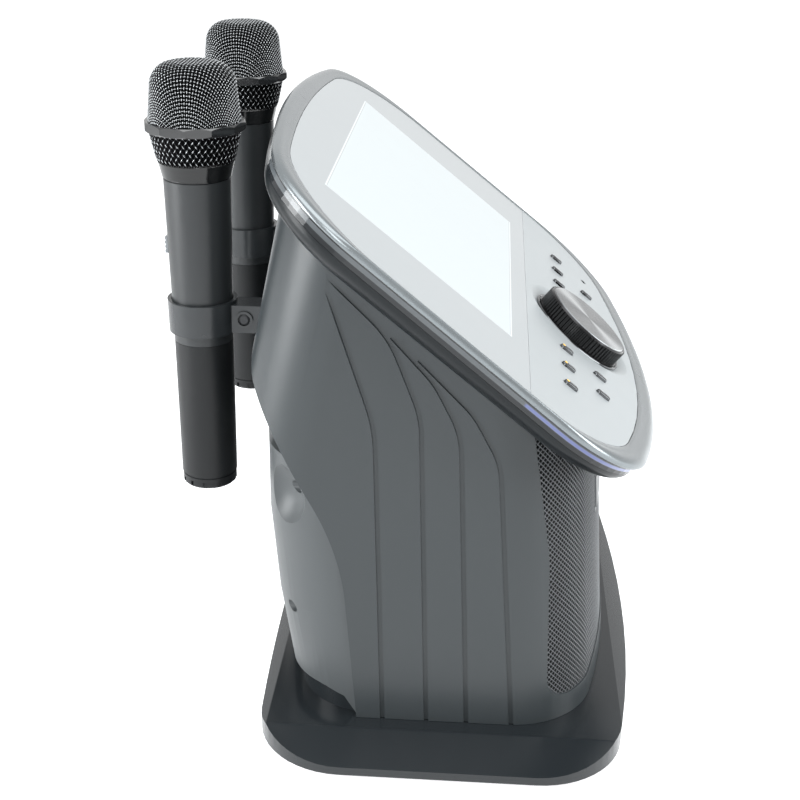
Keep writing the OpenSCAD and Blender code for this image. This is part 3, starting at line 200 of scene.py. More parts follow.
class Graph:
    """A few short calls for building a node tree."""

    def __init__(self, tree):
        self.t = tree

    def node(self, kind, **props):
        n = self.t.nodes.new(kind)
        for k, v in props.items():
            setattr(n, k, v)
        return n

    def put(self, socket, value):
        if isinstance(value, bpy.types.NodeSocket):
            self.t.links.new(value, socket)
        elif value is not None:
            socket.default_value = value

    def math(self, op, a, b=None, c=None):
        n = self.node("ShaderNodeMath", operation=op)
        for s, v in zip(n.inputs, (a, b, c)):
            self.put(s, v)
        return n.outputs[0]

    def ramp(self, x, lo, hi, a=0.0, b=1.0):
        n = self.node("ShaderNodeMapRange", interpolation_type="SMOOTHSTEP")
        for s, v in zip(n.inputs, (x, lo, hi, a, b)):
            self.put(s, v)
        return n.outputs[0]

    def mix(self, fac, a, b):
        n = self.node("ShaderNodeMix", data_type="RGBA")
        self.put(n.inputs[0], fac)
        self.put(n.inputs[6], a)
        self.put(n.inputs[7], b)
        return n.outputs[2]

    def noise(self, scale, detail, rough, vector):
        n = self.node("ShaderNodeTexNoise")
        self.put(n.inputs["Vector"], vector)
        n.inputs["Scale"].default_value = scale
        n.inputs["Detail"].default_value = detail
        n.inputs["Roughness"].default_value = rough
        return n.outputs["Fac"]

    def coords(self):
        return self.node("ShaderNodeTexCoord").outputs["Object"]

    def xyz(self, v):
        n = self.node("ShaderNodeSeparateXYZ")
        self.put(n.inputs[0], v)
        return n.outputs

    def dot(self, a, b):
        n = self.node("ShaderNodeVectorMath", operation="DOT_PRODUCT")
        self.put(n.inputs[0], a)
        self.put(n.inputs[1], b)
        return n.outputs["Value"]

    def vec(self, op, a, b=None):
        n = self.node("ShaderNodeVectorMath", operation=op)
        self.put(n.inputs[0], a)
        self.put(n.inputs[1], b)
        return n.outputs[0]

    def bump(self, height, strength, distance, normal=None):
        n = self.node("ShaderNodeBump")
        self.put(n.inputs["Height"], height)
        n.inputs["Strength"].default_value = strength
        n.inputs["Distance"].default_value = distance
        self.put(n.inputs["Normal"], normal)
        return n.outputs[0]


def group(name, outputs, build, inputs=()):
    """A shared node group: build(graph, input sockets) returns one socket per output."""
    tree = bpy.data.node_groups.new(name, "ShaderNodeTree")
    for label, kind, value in inputs:
        s = tree.interface.new_socket(label, in_out="INPUT", socket_type=kind)
        s.default_value = value
    for label, kind in outputs:
        tree.interface.new_socket(label, in_out="OUTPUT", socket_type=kind)
    g = Graph(tree)
    ins = g.node("NodeGroupInput").outputs
    out = g.node("NodeGroupOutput")
    for s, v in zip(out.inputs, build(g, ins)):
        tree.links.new(v, s)
    return tree


FLOAT, COLOR, VECTOR = "NodeSocketFloat", "NodeSocketColor", "NodeSocketVector"


def _console_uv(g, ins):
    """The console's own frame in metres: u across, v down the slope, h out of the glass."""
    p = g.vec("SUBTRACT", g.coords(), (0, SCREEN_Y / 1000, SCREEN_Z / 1000))
    return [g.dot(p, (1, 0, 0)), g.dot(p, (0, -CT, -ST)), g.dot(p, (0, -ST, CT))]


CONSOLE_UV = group("console_uv", [("U", FLOAT), ("V", FLOAT), ("H", FLOAT)], _console_uv)


def _moulded(g, ins):
    """Moulded plastic: colour x (1 + mottle), fine pebble grain and faint rub marks."""
    p = g.coords()
    broad = g.noise(9, 3, 0.6, p)
    spot = g.noise(220, 2, 0.5, p)
    shade = g.math("MULTIPLY_ADD", g.math("SUBTRACT", broad, 0.5), ins["Mottle"], 1.0)
    n = g.node("ShaderNodeVectorMath", operation="SCALE")
    g.put(n.inputs[0], ins["Color"])
    g.put(n.inputs["Scale"], shade)
    rub = g.math("SUBTRACT", g.noise(24, 4, 0.6, p), 0.5)
    rough = g.math("MULTIPLY_ADD", rub, 0.14, ins["Roughness"])
    grain = g.node("ShaderNodeTexNoise")
    g.put(grain.inputs["Vector"], p)
    g.put(grain.inputs["Scale"], ins["Grain"])
    grain.inputs["Detail"].default_value = 2
    b = g.node("ShaderNodeBump")
    g.put(b.inputs["Height"], g.math("ADD", grain.outputs["Fac"], g.math("MULTIPLY", spot, 0.3)))
    g.put(b.inputs["Strength"], ins["Depth"])
    b.inputs["Distance"].default_value = 0.0002
    return [n.outputs[0], rough, b.outputs[0]]


MOULDED = group(
    "moulded",
    [("Color", COLOR), ("Roughness", FLOAT), ("Normal", VECTOR)],
    _moulded,
    [
        ("Color", COLOR, (0.1, 0.1, 0.1, 1)),
        ("Roughness", FLOAT, 0.5),
        ("Mottle", FLOAT, 0.12),
        ("Grain", FLOAT, 1400.0),
        ("Depth", FLOAT, 0.25),
    ],
)


def material(name, color, rough, mottle, grain, depth, shade=None, **shader):
    """A Principled material fed by the moulded group; shade(graph, shader, group) adds to it,
    and named values are put into the shader's sockets."""
    m = bpy.data.materials.new(name)
    m.use_nodes = True
    g = Graph(m.node_tree)
    p = m.node_tree.nodes["Principled BSDF"]
    for k, v in shader.items():
        p.inputs[k.replace("_", " ")].default_value = v
    n = g.node("ShaderNodeGroup")
    n.node_tree = MOULDED
    n.inputs["Color"].default_value = (*color, 1)
    n.inputs["Roughness"].default_value = rough
    n.inputs["Mottle"].default_value = mottle
    n.inputs["Grain"].default_value = grain
    n.inputs["Depth"].default_value = depth
    g.put(p.inputs["Base Color"], n.outputs["Color"])
    g.put(p.inputs["Roughness"], n.outputs["Roughness"])
    g.put(p.inputs["Normal"], n.outputs["Normal"])
    if shade:
        shade(g, p, n)
    return m


def console_uv(g):
    """Outputs U, V and H of the console's frame, in a material."""
    n = g.node("ShaderNodeGroup")
    n.node_tree = CONSOLE_UV
    return n.outputs


# ---------------------------------------------------------------- materials

SHELL = material("shell", (0.046, 0.054, 0.058), 0.33, 0.10, 1500, 0.16)
COVER = material("cover", (0.094, 0.103, 0.107), 0.40, 0.10, 1500, 0.20)
BASE = material("base", (0.018, 0.022, 0.025), 0.20, 0.12, 1700, 0.10)
# The shell under the console: a much darker copy of the shell's plastic, painted shade under the
# console.
SHADED_TUB = material("tub", (0.012, 0.015, 0.017), 0.30, 0.10, 1700, 0.08, Specular_IOR_Level=0.25)
RUBBER = material("rubber", (0.02, 0.02, 0.021), 0.8, 0.2, 900, 0.4)
BAFFLE = material("baffle", (0.010, 0.011, 0.012), 0.7, 0.2, 900, 0.3)
CONE = material("cone", (0.02, 0.02, 0.022), 0.75, 0.3, 600, 0.5)
CRADLE = material("cradle", (0.032, 0.036, 0.039), 0.26, 0.10, 1500, 0.08)


def _handle(g, p, n):
    """The handle's collar, above 182 mm from its foot, is gloss black; the rest is satin."""
    z = g.xyz(g.coords())["Z"]
    start = (MIC_FOOT + COLLAR_F) / 1000
    collar = g.ramp(z, start, start + 0.0004)
    g.put(p.inputs["Base Color"], g.mix(collar, n.outputs["Color"], (0.006, 0.0065, 0.007, 1)))
    g.put(p.inputs["Roughness"], g.math("MULTIPLY_ADD", collar, -0.30, n.outputs["Roughness"]))


MIC_BODY = material("mic_body", (0.026, 0.029, 0.031), 0.38, 0.12, 2200, 0.10, _handle)
MIC_TAIL = material(
    "mic_tail", (0.010, 0.011, 0.012), 0.42, 0.12, 2200, 0.18, Specular_IOR_Level=0.3
)
TRIM = material("trim", (0.016, 0.019, 0.022), 0.16, 0.1, 1500, 0.03)
FOAM = material("foam", (0.003, 0.003, 0.0035), 0.95, 0.3, 700, 0.5, Specular_IOR_Level=0.1)
BOARD = material("board", (0.02, 0.12, 0.06), 0.4, 0.3, 600, 0.2)
GEAR = material("gear", (0.70, 0.70, 0.66), 0.5, 0.06, 900, 0.1)
DARK_PART = material("dark_part", (0.035, 0.037, 0.040), 0.55, 0.15, 1300, 0.3)
STEEL = material("steel", (0.55, 0.56, 0.58), 0.30, 0.10, 1800, 0.10, Metallic=1.0)


def _wire(g, p, n):
    """Painted highlights on the weave's crests and painted shade where the wires dip under each
    other.
    """
    crest = g.node("ShaderNodeAttribute", attribute_name="crest").outputs["Fac"]
    # Painted highlight on the crests and painted shade in the dips, put into the wire's colour.
    bright = g.ramp(crest, 0.74, 1.0)
    g.put(p.inputs["Base Color"], g.mix(bright, (0.012, 0.013, 0.014, 1), (0.42, 0.435, 0.445, 1)))


WIRE = material("wire", (0.050, 0.053, 0.055), 0.24, 0.25, 2500, 0.05, _wire, Metallic=0.8)
RING = material("ring", (0.012, 0.013, 0.014), 0.10, 0.1, 1500, 0.03, Specular_IOR_Level=1.0)
CHROME = material("chrome", (0.78, 0.79, 0.81), 0.07, 0.04, 900, 0.01, Metallic=1.0)
KEY = material("key", (0.10, 0.104, 0.108), 0.10, 0.04, 900, 0.01, Metallic=1.0)
SWITCH = material("switch", (0.35, 0.37, 0.39), 0.35, 0.08, 1500, 0.1)


def _rim(g, p, n):
    """Two half rims: a fine parting line where they meet at the middle, top and bottom."""
    uv = console_uv(g)
    gap = g.ramp(g.math("ABSOLUTE", g.math("SUBTRACT", uv["U"], 0.004)), 0.0001, 0.00035, 1, 0)
    g.put(p.inputs["Base Color"], g.mix(gap, n.outputs["Color"], (0.10, 0.11, 0.12, 1)))
    g.put(p.inputs["Normal"], g.bump(gap, 0.9, -0.0004, n.outputs["Normal"]))


RIM = material(
    "rim", (0.22, 0.243, 0.253), 0.26, 0.06, 2000, 0.04, _rim,
    Metallic=0.75, Coat_Weight=0.2, Coat_Roughness=0.15,
)


def _screen(g, p, n):
    """The lit screen is |u| < w/2, |v| < h/2, with a thin bright line round it."""
    uv = console_uv(g)
    du = g.math("SUBTRACT", g.math("ABSOLUTE", uv["U"]), SCREEN_HALF_W / 1000)
    dv = g.math("SUBTRACT", g.math("ABSOLUTE", uv["V"]), SCREEN_HALF_H / 1000)
    d = g.math("MAXIMUM", du, dv)
    lit = g.ramp(d, -0.0002, 0.0002, 1, 0)
    line = g.math("MULTIPLY", g.ramp(d, 0.0002, 0.0006), g.ramp(d, 0.0010, 0.0016, 1, 0))
    frame_c = g.mix(line, n.outputs["Color"], (0.82, 0.86, 0.88, 1))
    g.put(p.inputs["Base Color"], g.mix(lit, frame_c, (0.56, 0.61, 0.62, 1)))
    g.put(p.inputs["Emission Strength"], g.math("MULTIPLY", lit, 0.12))


GLASS = material(
    "glass", (0.45, 0.478, 0.49), 0.20, 0.03, 2000, 0.02, _screen,
    Emission_Color=(0.86, 0.96, 1.0, 1), Coat_Weight=0.3, Coat_Roughness=0.05,
)
PANEL = material(
    "panel", (0.46, 0.49, 0.50), 0.34, 0.04, 2200, 0.05, Coat_Weight=0.15, Coat_Roughness=0.2
)


def _pipe(g, p, n):
    """Smoked light pipe, lit from v = 77 mm round the front: blue at the sides, then pale."""
    uv = console_uv(g)
    on = g.ramp(uv["V"], 0.0765, 0.0785)
    low, high = g.ramp(uv["H"], -0.00690, -0.00660), g.ramp(uv["H"], -0.0052, -0.0049, 1, 0)
    band = g.math("MULTIPLY", low, high)
    dark = g.ramp(uv["H"], -0.0048, -0.0044)
    g.put(p.inputs["Base Color"], g.mix(dark, n.outputs["Color"], (0.004, 0.0045, 0.005, 1)))
    front = g.ramp(uv["V"], 0.115, 0.172)
    blue, pale = (0.13, 0.17, 0.62, 1), (0.55, 0.60, 0.98, 1)
    g.put(p.inputs["Emission Color"], g.mix(front, blue, pale))
    g.put(p.inputs["Emission Strength"], g.math("MULTIPLY", g.math("MULTIPLY", on, band), 0.55))


PIPE = material(
    "pipe", (0.13, 0.145, 0.155), 0.18, 0.08, 1200, 0.02, _pipe,
    Coat_Weight=0.5, Coat_Roughness=0.05,
)


def _brushed(g, p, n):
    """Spun metal: fine rings in r about the dial's axis, a tangent axis x (p - c), and two painted
    highlight fans, (1 - cos^2)^5 of the angle from their dark axis."""
    uv = console_uv(g)
    s = g.math("SUBTRACT", uv["V"], DIAL_V / 1000)
    square = g.math("ADD", g.math("MULTIPLY", uv["U"], uv["U"]), g.math("MULTIPLY", s, s))
    r = g.math("SQRT", square)
    rings = g.node("ShaderNodeTexNoise", noise_dimensions="1D")
    g.put(rings.inputs["W"], r)
    rings.inputs["Scale"].default_value = 5200
    rings.inputs["Detail"].default_value = 3
    c = console(np.array([[0, -DIAL_V, 9]]))[0]
    t = g.vec("CROSS_PRODUCT", (0, -ST, CT), g.vec("SUBTRACT", g.coords(), tuple(c)))
    g.put(p.inputs["Tangent"], g.vec("NORMALIZE", t))
    g.put(p.inputs["Normal"], g.bump(rings.outputs["Fac"], 0.12, 0.00005))
    # Painted highlight: two bright fans put into the cap's colour in place of the spun metal's
    # reflections.
    dark_axis = g.math("ADD", g.math("MULTIPLY", uv["U"], 0.82), g.math("MULTIPLY", s, 0.57))
    along = g.math("DIVIDE", dark_axis, g.math("ADD", r, 1e-5))
    across = g.math("SUBTRACT", 1.0, g.math("MULTIPLY", along, along))
    painted_fan_highlight = g.math("POWER", across, 5.0)
    g.put(p.inputs["Base Color"], g.mix(painted_fan_highlight, (0.15, 0.157, 0.162, 1), (0.62, 0.64, 0.65, 1)))


CAP = material(
    "cap", (0.26, 0.27, 0.28), 0.22, 0.04, 2000, 0.02, _brushed, Metallic=1.0, Anisotropic=0.85
)
KNOB = material("knob", (0.020, 0.020, 0.021), 0.20, 0.1, 1500, 0.03, Metallic=0.55)


GRILLE = material("grille", (0.15, 0.158, 0.165), 0.42, 0.15, 2500, 0.15, Metallic=0.35)
# A darker copy of the grille's metal for the holes' flanks: painted shade.
GRILLE_SHADED_FLANKS = material("grille_flank_painted_shade", (0.02, 0.021, 0.022), 0.5, 0.15, 2500, 0.15)
AMBER = material(
    "amber", (0.75, 0.45, 0.08), 0.3, 0.05, 900, 0.05,
    Emission_Color=(1.0, 0.62, 0.12, 1), Emission_Strength=0.7,
)

LOOKS = {
    BASE: ("base_plate",),
    SHELL: ("main_housing", "tray_front"),
    COVER: ("rear_cover",),
    SHADED_TUB: ("head_tub",),
    RUBBER: ("rubber_feet", "disc_hub"),
    BAFFLE: ("front_baffle",),
    GRILLE: ("speaker_grille",),
    CONE: ("speaker_cones",),
    TRIM: ("trim_ring",),
    PIPE: ("light_pipe",),
    RIM: ("rim_bezel",),
    GLASS: ("display_glass",),
    PANEL: ("control_panel",),
    KEY: ("dial_ring",),
    KNOB: ("dial_knob",),
    CAP: ("dial_cap",),
    SWITCH: ("led_strip", "lcd_panel", "mic_left_switch", "mic_right_switch"),
    BOARD: ("control_board", "main_board"),
    GEAR: ("tray_pinion", "motor_gear"),
    STEEL: (
        "cover_screws", "dial_shaft", "loading_motor", "spindle_motor", "sled_rods",
        "mic_left_capsule", "mic_right_capsule",
    ),
    DARK_PART: (
        "jack_block", "speaker_frames", "drive_chassis", "disc_tray", "traverse_frame",
        "laser_sled", "cradle_screws",
    ),
    CRADLE: ("mic_cradles",),
    FOAM: ("receiver_window", "mic_left_mesh", "mic_right_mesh"),
    RING: ("mic_left_ring", "mic_right_ring"),
    MIC_BODY: ("mic_left_handle", "mic_right_handle"),
    MIC_TAIL: ("mic_left_tail", "mic_right_tail"),
    CHROME: tuple(f"button_{i}" for i in range(1, 11)),
}
for look, names in LOOKS.items():
    for name in names:
        nodes[name].data.materials.clear()
        nodes[name].data.materials.append(look)


def soften(name, width):
    """Rounded edges on a CAD node, by a bevel modifier, width in mm."""
    b = nodes[name].modifiers.new("edge", "BEVEL")
    b.width = width / 1000
    b.segments = 2
    b.limit_method = "ANGLE"
    b.angle_limit = math.radians(35)
    b.harden_normals = False


def smooth_copy(name, body, material):
    """A merged copy of a CAD node, shaded smooth where faces meet at less than 30 degrees:
    corners that agree to 0.001 mm become one, and triangles that vanish by this are left out."""
    mesh = nodes[name].data
    co = np.empty(len(mesh.vertices) * 3)
    mesh.vertices.foreach_get("co", co)
    tri = np.empty(len(mesh.polygons) * 3, int)
    mesh.polygons.foreach_get("vertices", tri)
    key, back = np.unique(np.round(co.reshape(-1, 3) * 1e6), axis=0, return_inverse=True)
    tri = back.reshape(-1)[tri].reshape(-1, 3)
    tri = tri[(tri[:, 0] != tri[:, 1]) & (tri[:, 1] != tri[:, 2]) & (tri[:, 0] != tri[:, 2])]
    obj = piece(f"{name}_smooth", key / 1e6, [tri], body, material, (name,), angle=30)
    w = obj.modifiers.new("normals", "WEIGHTED_NORMAL")
    w.keep_sharp = True
    w.mode = "FACE_AREA"


# ---------------------------------------------------------------- console shells


# The rim's top, [t, h]: a shallow dish for t < 0.35, a roll up to t = 0.8, then over the edge
RIM_TOP = [
    (0, 0.05), (0.06, 0.28), (0.14, 0.42), (0.24, 0.46), (0.34, 0.50), (0.44, 0.60), (0.54, 0.70),
    (0.64, 0.72), (0.73, 0.60), (0.81, 0.30), (0.88, -0.12), (0.93, -0.55), (0.97, -1.1),
    (0.993, -1.75),
]


def rim_piece():
    """The metal rim: outlines inner (1 - t) + outer t at height h along RIM_TOP, closed below."""
    inner, outer = panel_outline(0.3), rim_outline()
    rings = [level(panel_outline(-6), -3.6), level(rim_outline(-0.8), -3.6)]
    rings += [level(rim_outline(-0.25), -3.3), level(outer, -2.7)]
    rings += [blend(inner, outer, t, h) for t, h in reversed(RIM_TOP)]
    rings += [level(inner, -0.3), level(inner, -2.4), level(panel_outline(-6), -2.4)]
    v, f = skin([console(r) for r in rings])
    piece("rim_skin", v, f, "machine", RIM, ("rim_bezel",), angle=40)


def tub_piece():
    """The lower shell: outline rim (1 - t) + low t with t = 1 - cos(a)^1.15 at height
    -10 - 11 sin(a)^0.92 for a from 0 to 90 degrees, and an inner skin like it."""
    rim, low, rim_in, low_in = rim_outline(-3), tub_outline(), rim_outline(-6), tub_outline(-3)
    a = np.linspace(0, math.pi / 2, 15)
    out, drop = 1 - np.cos(a) ** 1.15, np.sin(a) ** 0.92
    rings = [blend(rim, low, o, -10 - 11 * d) for o, d in zip(out, drop)]
    rings += [level(tub_outline(-22), -21), level(tub_outline(-22), -18)]
    rings += [blend(rim_in, low_in, o, -10 - 8 * d) for o, d in reversed(list(zip(out, drop)))]
    v, f = skin([console(r) for r in rings])
    piece("tub_skin", v, f, "machine", SHADED_TUB, ("head_tub",), angle=40)


rim_piece()
tub_piece()

# ---------------------------------------------------------------- buttons


def button_piece(i, u, v):
    """A pill-shaped key with a crowned top: rings of the pill outline, shrunk as they rise."""
    w, l, n = 4.2, 9.4, 16

    def pill(g):
        """The key's outline, w by l, grown by g."""
        r, straight = w / 2 + g, l / 2 - w / 2
        return np.vstack([arc(0, straight, r, 0, 180, n), arc(0, -straight, r, 180, 360, n)])

    crown = [(-0.12, 1.25), (-0.4, 1.52), (-0.8, 1.70), (-1.3, 1.79), (-1.8, 1.8)]
    levels = [(0, -3.2), (0, 0.9)] + crown
    rings = [np.c_[pill(g) + [u, -v], np.full(2 * n + 2, h)] for g, h in levels]
    verts, faces = skin([console(r) for r in rings], closed=False)
    m = 2 * n + 2
    hub = len(verts)
    verts = np.vstack([verts, console(np.array([[u, -v, 1.8], [u, -v, -3.2]]))])
    faces += [fan(np.arange(hub - m, hub), hub), fan(np.arange(m)[::-1], hub + 1)]
    piece(f"key_{i}_top", verts, faces, f"key_{i}", KEY, (f"button_{i}",), angle=60)


KEY_U, KEY_PITCH, ROW_1_V, ROW_2_V = 60.2, 27.2, 105.7, 131.5
places = []
for s in (-1, 1):
    places += [(s * (KEY_U + KEY_PITCH * k), ROW_1_V) for k in range(3)]
    places += [(s * (KEY_U + KEY_PITCH * k), ROW_2_V) for k in range(2)]
for i, (u, v) in enumerate(places, 1):
    button_piece(i, u, v)



def amber_key_dome(i, u, v):
    """A glowing amber dome at a key's upper end: rings of a dome r = 1.05 cos(t), 0.45 sin(t)
    high.
    """
    n, r0, low, rise, up = 16, 1.05, 1.62, 0.45, 2.9
    q = np.arange(n) * 2 * math.pi / n
    rings = []
    for t in np.linspace(0, math.pi / 2, 5)[:-1]:
        r = r0 * math.cos(t)
        h = np.full(n, low + rise * math.sin(t))
        rings.append(np.c_[r * np.cos(q) + u, r * np.sin(q) - v + up, h])
    verts, faces = skin([console(r) for r in rings], closed=False)
    hub = len(verts)
    ends = np.array([[u, -v + up, low + rise], [u, -v + up, low]])
    verts = np.vstack([verts, console(ends)])
    faces += [fan(np.arange(hub - n, hub), hub), fan(np.arange(n)[::-1], hub + 1)]
    piece(f"key_{i}_light", verts, faces, f"key_{i}", AMBER)


# Glowing amber domes on the first three keys.
for i, (u, v) in enumerate(places[:3], 1):
    amber_key_dome(i, u, v)

# ---------------------------------------------------------------- grille


def front_point(s, z, g):
    """Point of the leaning front g outside it, at s mm along it from the middle and height z."""
    b, r = FRONT_BOW, FRONT_CORNER
    xf = HALF - r
    yf = -(FRONT_Y - b + math.sqrt((b - r) ** 2 - xf**2))
    af = math.asin(xf / (b - r))
    s0 = b * af
    s1 = s0 + r * (math.pi / 2 - af)
    a = np.abs(s)
    t = np.minimum(a, s0) / b
    x = (b + g) * np.sin(t)
    y = (b - FRONT_Y) - (b + g) * np.cos(t)
    q = af + np.clip(a - s0, 0, s1 - s0) / r
    x = np.where(a > s0, xf + (r + g) * np.sin(q), x)
    y = np.where(a > s0, yf - (r + g) * np.cos(q), y)
    y = np.where(a > s1, yf + (a - s1), y)
    x = x * np.sign(s)
    c, t0 = math.cos(FRONT_LEAN), math.tan(FRONT_LEAN)
    return np.c_[x, y / c + (z - BASE_TOP) * t0, z] / 1000


# The grille's rear edge on the side walls: depth y by height z
GRILLE_BACK = (
    [26, 30, 36, 42, 118, 160, 212, 236],
    [-72, -64, -57, -56, -53.6, -47.8, -39.5, -35.7],
)
# The tray's opening and the strip round it: half width, low and high edge
OPENING = (73.2, 114.8, 135.2)
STRIP = (75.4, 112.6, 137.4)
STRAND_TOP, HOLE_EDGE, STRIP_TOP = -0.8, -1.8, -0.62


def grille_piece():
    """Pressed mesh: staggered diamond holes, pitch 3.0 across and 3.3 up. Each strand is a
    crowned ridge at -0.8 mm, its flanks fall to the hole's edge at -1.8 mm (second material,
    a darker copy of the metal: painted shade in the holes). A flat strip frames the tray's
    opening."""
    across, up, low, reach = 3.0, 3.3, 26, 188
    j, i = np.mgrid[0:130, -64:65]
    s, z = (i + j % 2 * 0.5) * across, low + j * up / 2
    half, sill, lintel = OPENING
    hole = (np.abs(s) < half + 0.2) & (sill - 0.2 < z) & (z < lintel + 0.2)
    inside = (np.abs(s) < reach) & ~hole
    s, z = s[inside][:, None], z[inside][:, None]
    ds, dz = np.array([1, 0, -1, 0]) * across / 2, np.array([0, 1, 0, -1]) * up / 2
    scale = np.array([1, 0.78, 0.70])[:, None, None]
    ps, pz = s + ds * scale, z + dz * scale
    depths = np.array([STRAND_TOP, STRAND_TOP - 0.1, HOLE_EDGE])[:, None, None]
    depth = np.broadcast_to(depths, ps.shape)
    flat = np.round(np.c_[ps.ravel(), pz.ravel(), depth.ravel()], 3)
    flat, back = np.unique(flat, axis=0, return_inverse=True)
    back = back.reshape(ps.shape)
    k, m = np.arange(4), (np.arange(4) + 1) % 4
    quads = []
    for outer, inner in ((back[0], back[1]), (back[1], back[2])):
        corners = [outer[:, k], outer[:, m], inner[:, m], inner[:, k]]
        quads.append(np.stack(corners, -1).reshape(-1, 4))
    pts = front_point(*flat.T)
    y = pts[:, 1] * 1000
    h = -ST * (y - SCREEN_Y) + CT * (pts[:, 2] * 1000 - SCREEN_Z)
    front = y < np.interp(flat[:, 1], *GRILLE_BACK) + 3
    keep = front & (h < TUB_FLOOR) & (flat[:, 1] > low + 0.5)
    quads = [q[keep[q].all(1)] for q in quads]
    n = 49
    t = np.linspace(-1, 1, n)

    def loop(size, g):
        """A rectangle round the tray's opening, laid on the front at depth g."""
        a, bottom, top = size
        p = np.vstack([np.c_[t * a, np.full(n, bottom)], np.c_[-t * a, np.full(n, top)]])
        return front_point(p[:, 0], p[:, 1], np.full(2 * n, g))

    loops = [loop(OPENING, HOLE_EDGE), loop(OPENING, STRIP_TOP)]
    loops += [loop(STRIP, STRIP_TOP), loop(STRIP, HOLE_EDGE)]
    strip, strip_faces = skin(loops, closed=False)
    order = [quads[0], strip_faces[0][:, ::-1] + len(pts), quads[1]]
    used, remap = np.unique(np.concatenate([q.ravel() for q in order]), return_inverse=True)
    plain = len(order[0]) + len(order[1])
    verts, faces = np.vstack([pts, strip])[used], [remap.reshape(-1, 4)]
    slot, node = "grille_metal", ("speaker_grille",)
    obj = piece("grille_mesh", verts, faces, "machine", GRILLE, node, smooth=False)
    # The holes' flanks get the darker copy of the metal: painted shade.
    obj.data.materials.append(GRILLE_SHADED_FLANKS)
    index = np.zeros(len(remap) // 4, int)
    index[plain:] = 1
    obj.data.polygons.foreach_set("material_index", index)


grille_piece()

# ---------------------------------------------------------------- microphones


WIRE_R, WIRE_SIDES = 0.30, 5


def wires(paths, r=WIRE_R, sides=WIRE_SIDES):
    """Thin tubes along (points, normals, crest) paths: round each point p, with b across the
    path and n = b x t, the ring p + r (n cos a + b sin a)."""
    verts, faces, base = [], [], 0
    a = (np.arange(sides) * 2 * math.pi / sides)[None, :, None]
    k, m = np.arange(sides), (np.arange(sides) + 1) % sides
    for p, out, _crest in paths:
        t = np.gradient(p, axis=0)
        b = np.cross(t, out)
        n = np.cross(b, t)
        b, n = (x[:, None] / np.linalg.norm(x, axis=1)[:, None, None] for x in (b, n))
        verts.append((p[:, None] + r * (np.cos(a) * n + np.sin(a) * b)).reshape(-1, 3))
        i = base + np.arange(len(p) - 1)[:, None] * sides
        faces.append(np.stack([i + k, i + m, i + sides + m, i + sides + k], -1).reshape(-1, 4))
        faces.append(np.vstack([base + k[::-1], base + (len(p) - 1) * sides + k]))
        base += len(p) * sides
    return np.vstack(verts), faces


RING_Z = 211.0
# The basket's outline from the middle of its flat top, down over the shoulder to the belt
SHOULDER = arc(10.5, 231.6, 12.2, 90, 0, 14)
HEAD = np.vstack([[0, 243.8], SHOULDER, [24.5, RING_Z + 2.5], [24.55, RING_Z]])
HEAD_S = np.r_[0, np.cumsum(np.linalg.norm(np.diff(HEAD, axis=0), axis=1))]
HEAD_T = np.gradient(HEAD, axis=0)


def on_head(a, b, lift):
    """A flat weave pressed over the basket: the plane point (a, b), at rho from the middle, goes
    to the outline's point at arc length rho, moved out by lift along the outline's normal."""
    rho, phi = np.hypot(a, b), np.arctan2(b, a)
    r, z = np.interp(rho, HEAD_S, HEAD[:, 0]), np.interp(rho, HEAD_S, HEAD[:, 1])
    tr, tz = np.interp(rho, HEAD_S, HEAD_T[:, 0]), np.interp(rho, HEAD_S, HEAD_T[:, 1])
    q = np.hypot(tr, tz)
    nr, nz = -tz / q, tr / q
    n = np.c_[nr * np.cos(phi), nr * np.sin(phi), nz]
    return np.c_[r * np.cos(phi), r * np.sin(phi), z] + lift[:, None] * n, n


def head_weave(pitch=1.95, wave=0.33):
    """Two crossed families of wires, each going over and under the other: lift = wave cos."""
    lim = HEAD_S[-1] - 2.0
    paths = []
    count = int(lim / pitch)
    for fam in (0, 1):
        for k in range(-count, count + 1):
            c = k * pitch
            half = math.sqrt(max(lim * lim - c * c, 0))
            if half < 2:
                continue
            t = np.arange(-half, half + 0.01, pitch / 4)
            lift = wave * np.cos(math.pi * t / pitch + math.pi * (k + fam))
            straight = np.full_like(t, c)
            x, y = (t, straight) if fam == 0 else (straight, t)
            paths.append((*on_head(x, y, lift), lift / wave))
    return paths


CONE_Z = 191.9


def cone_weave(n=44, wave=0.30):
    """The lower band: wires that climb the cone and lean both ways, crossing each other."""
    z0, z1 = CONE_Z, RING_Z - 2.2
    r0, r1 = 20.6, 24.5
    paths = []
    for fam in (1, -1):
        for k in range(n):
            q = np.linspace(0, 1, 36)
            r = r0 + (r1 - r0) * q**0.85
            phi = 2 * math.pi * (k / n) + fam * (0.16 + 0.50 * q)
            lift = wave * np.cos(n * phi + (0 if fam > 0 else math.pi))
            n_ = np.c_[np.cos(phi), np.sin(phi), np.full_like(phi, -0.23)]
            n_ /= np.linalg.norm(n_, axis=1)[:, None]
            line = np.c_[r * np.cos(phi), r * np.sin(phi), z0 + (z1 - z0) * q]
            paths.append((line + lift[:, None] * n_, n_, lift / wave))
    return paths


def microphone(side, x):
    """The woven basket over a foam lining that lies 1 to 1.6 mm inside it."""
    body, slot = f"mic_{side}", "mesh_wire"
    c = np.array([x, MIC_Y, MIC_FOOT])
    paths = head_weave() + cone_weave()
    v, f = wires(paths)
    weave = piece(f"{body}_weave", (v + c) / 1000, f, body, WIRE, (f"{body}_mesh",))
    crest = np.concatenate([np.repeat(k, WIRE_SIDES) for _, _, k in paths]) * 0.5 + 0.5
    weave.data.attributes.new("crest", "FLOAT", "POINT").data.foreach_set("value", crest)
    lining = [(max(r - 1.6, 0.05), z - (1.6 if r < 12 else 1.0)) for r, z in HEAD]
    v, f = skin(turned(lining + [(19.2, CONE_Z + 0.2)], c, 64), closed=False)
    piece(f"{body}_foam", v, f, body, FOAM)


for side, x in (("left", -MIC_X), ("right", MIC_X)):
    microphone(side, x)

# ---------------------------------------------------------------- smooth shells and soft edges

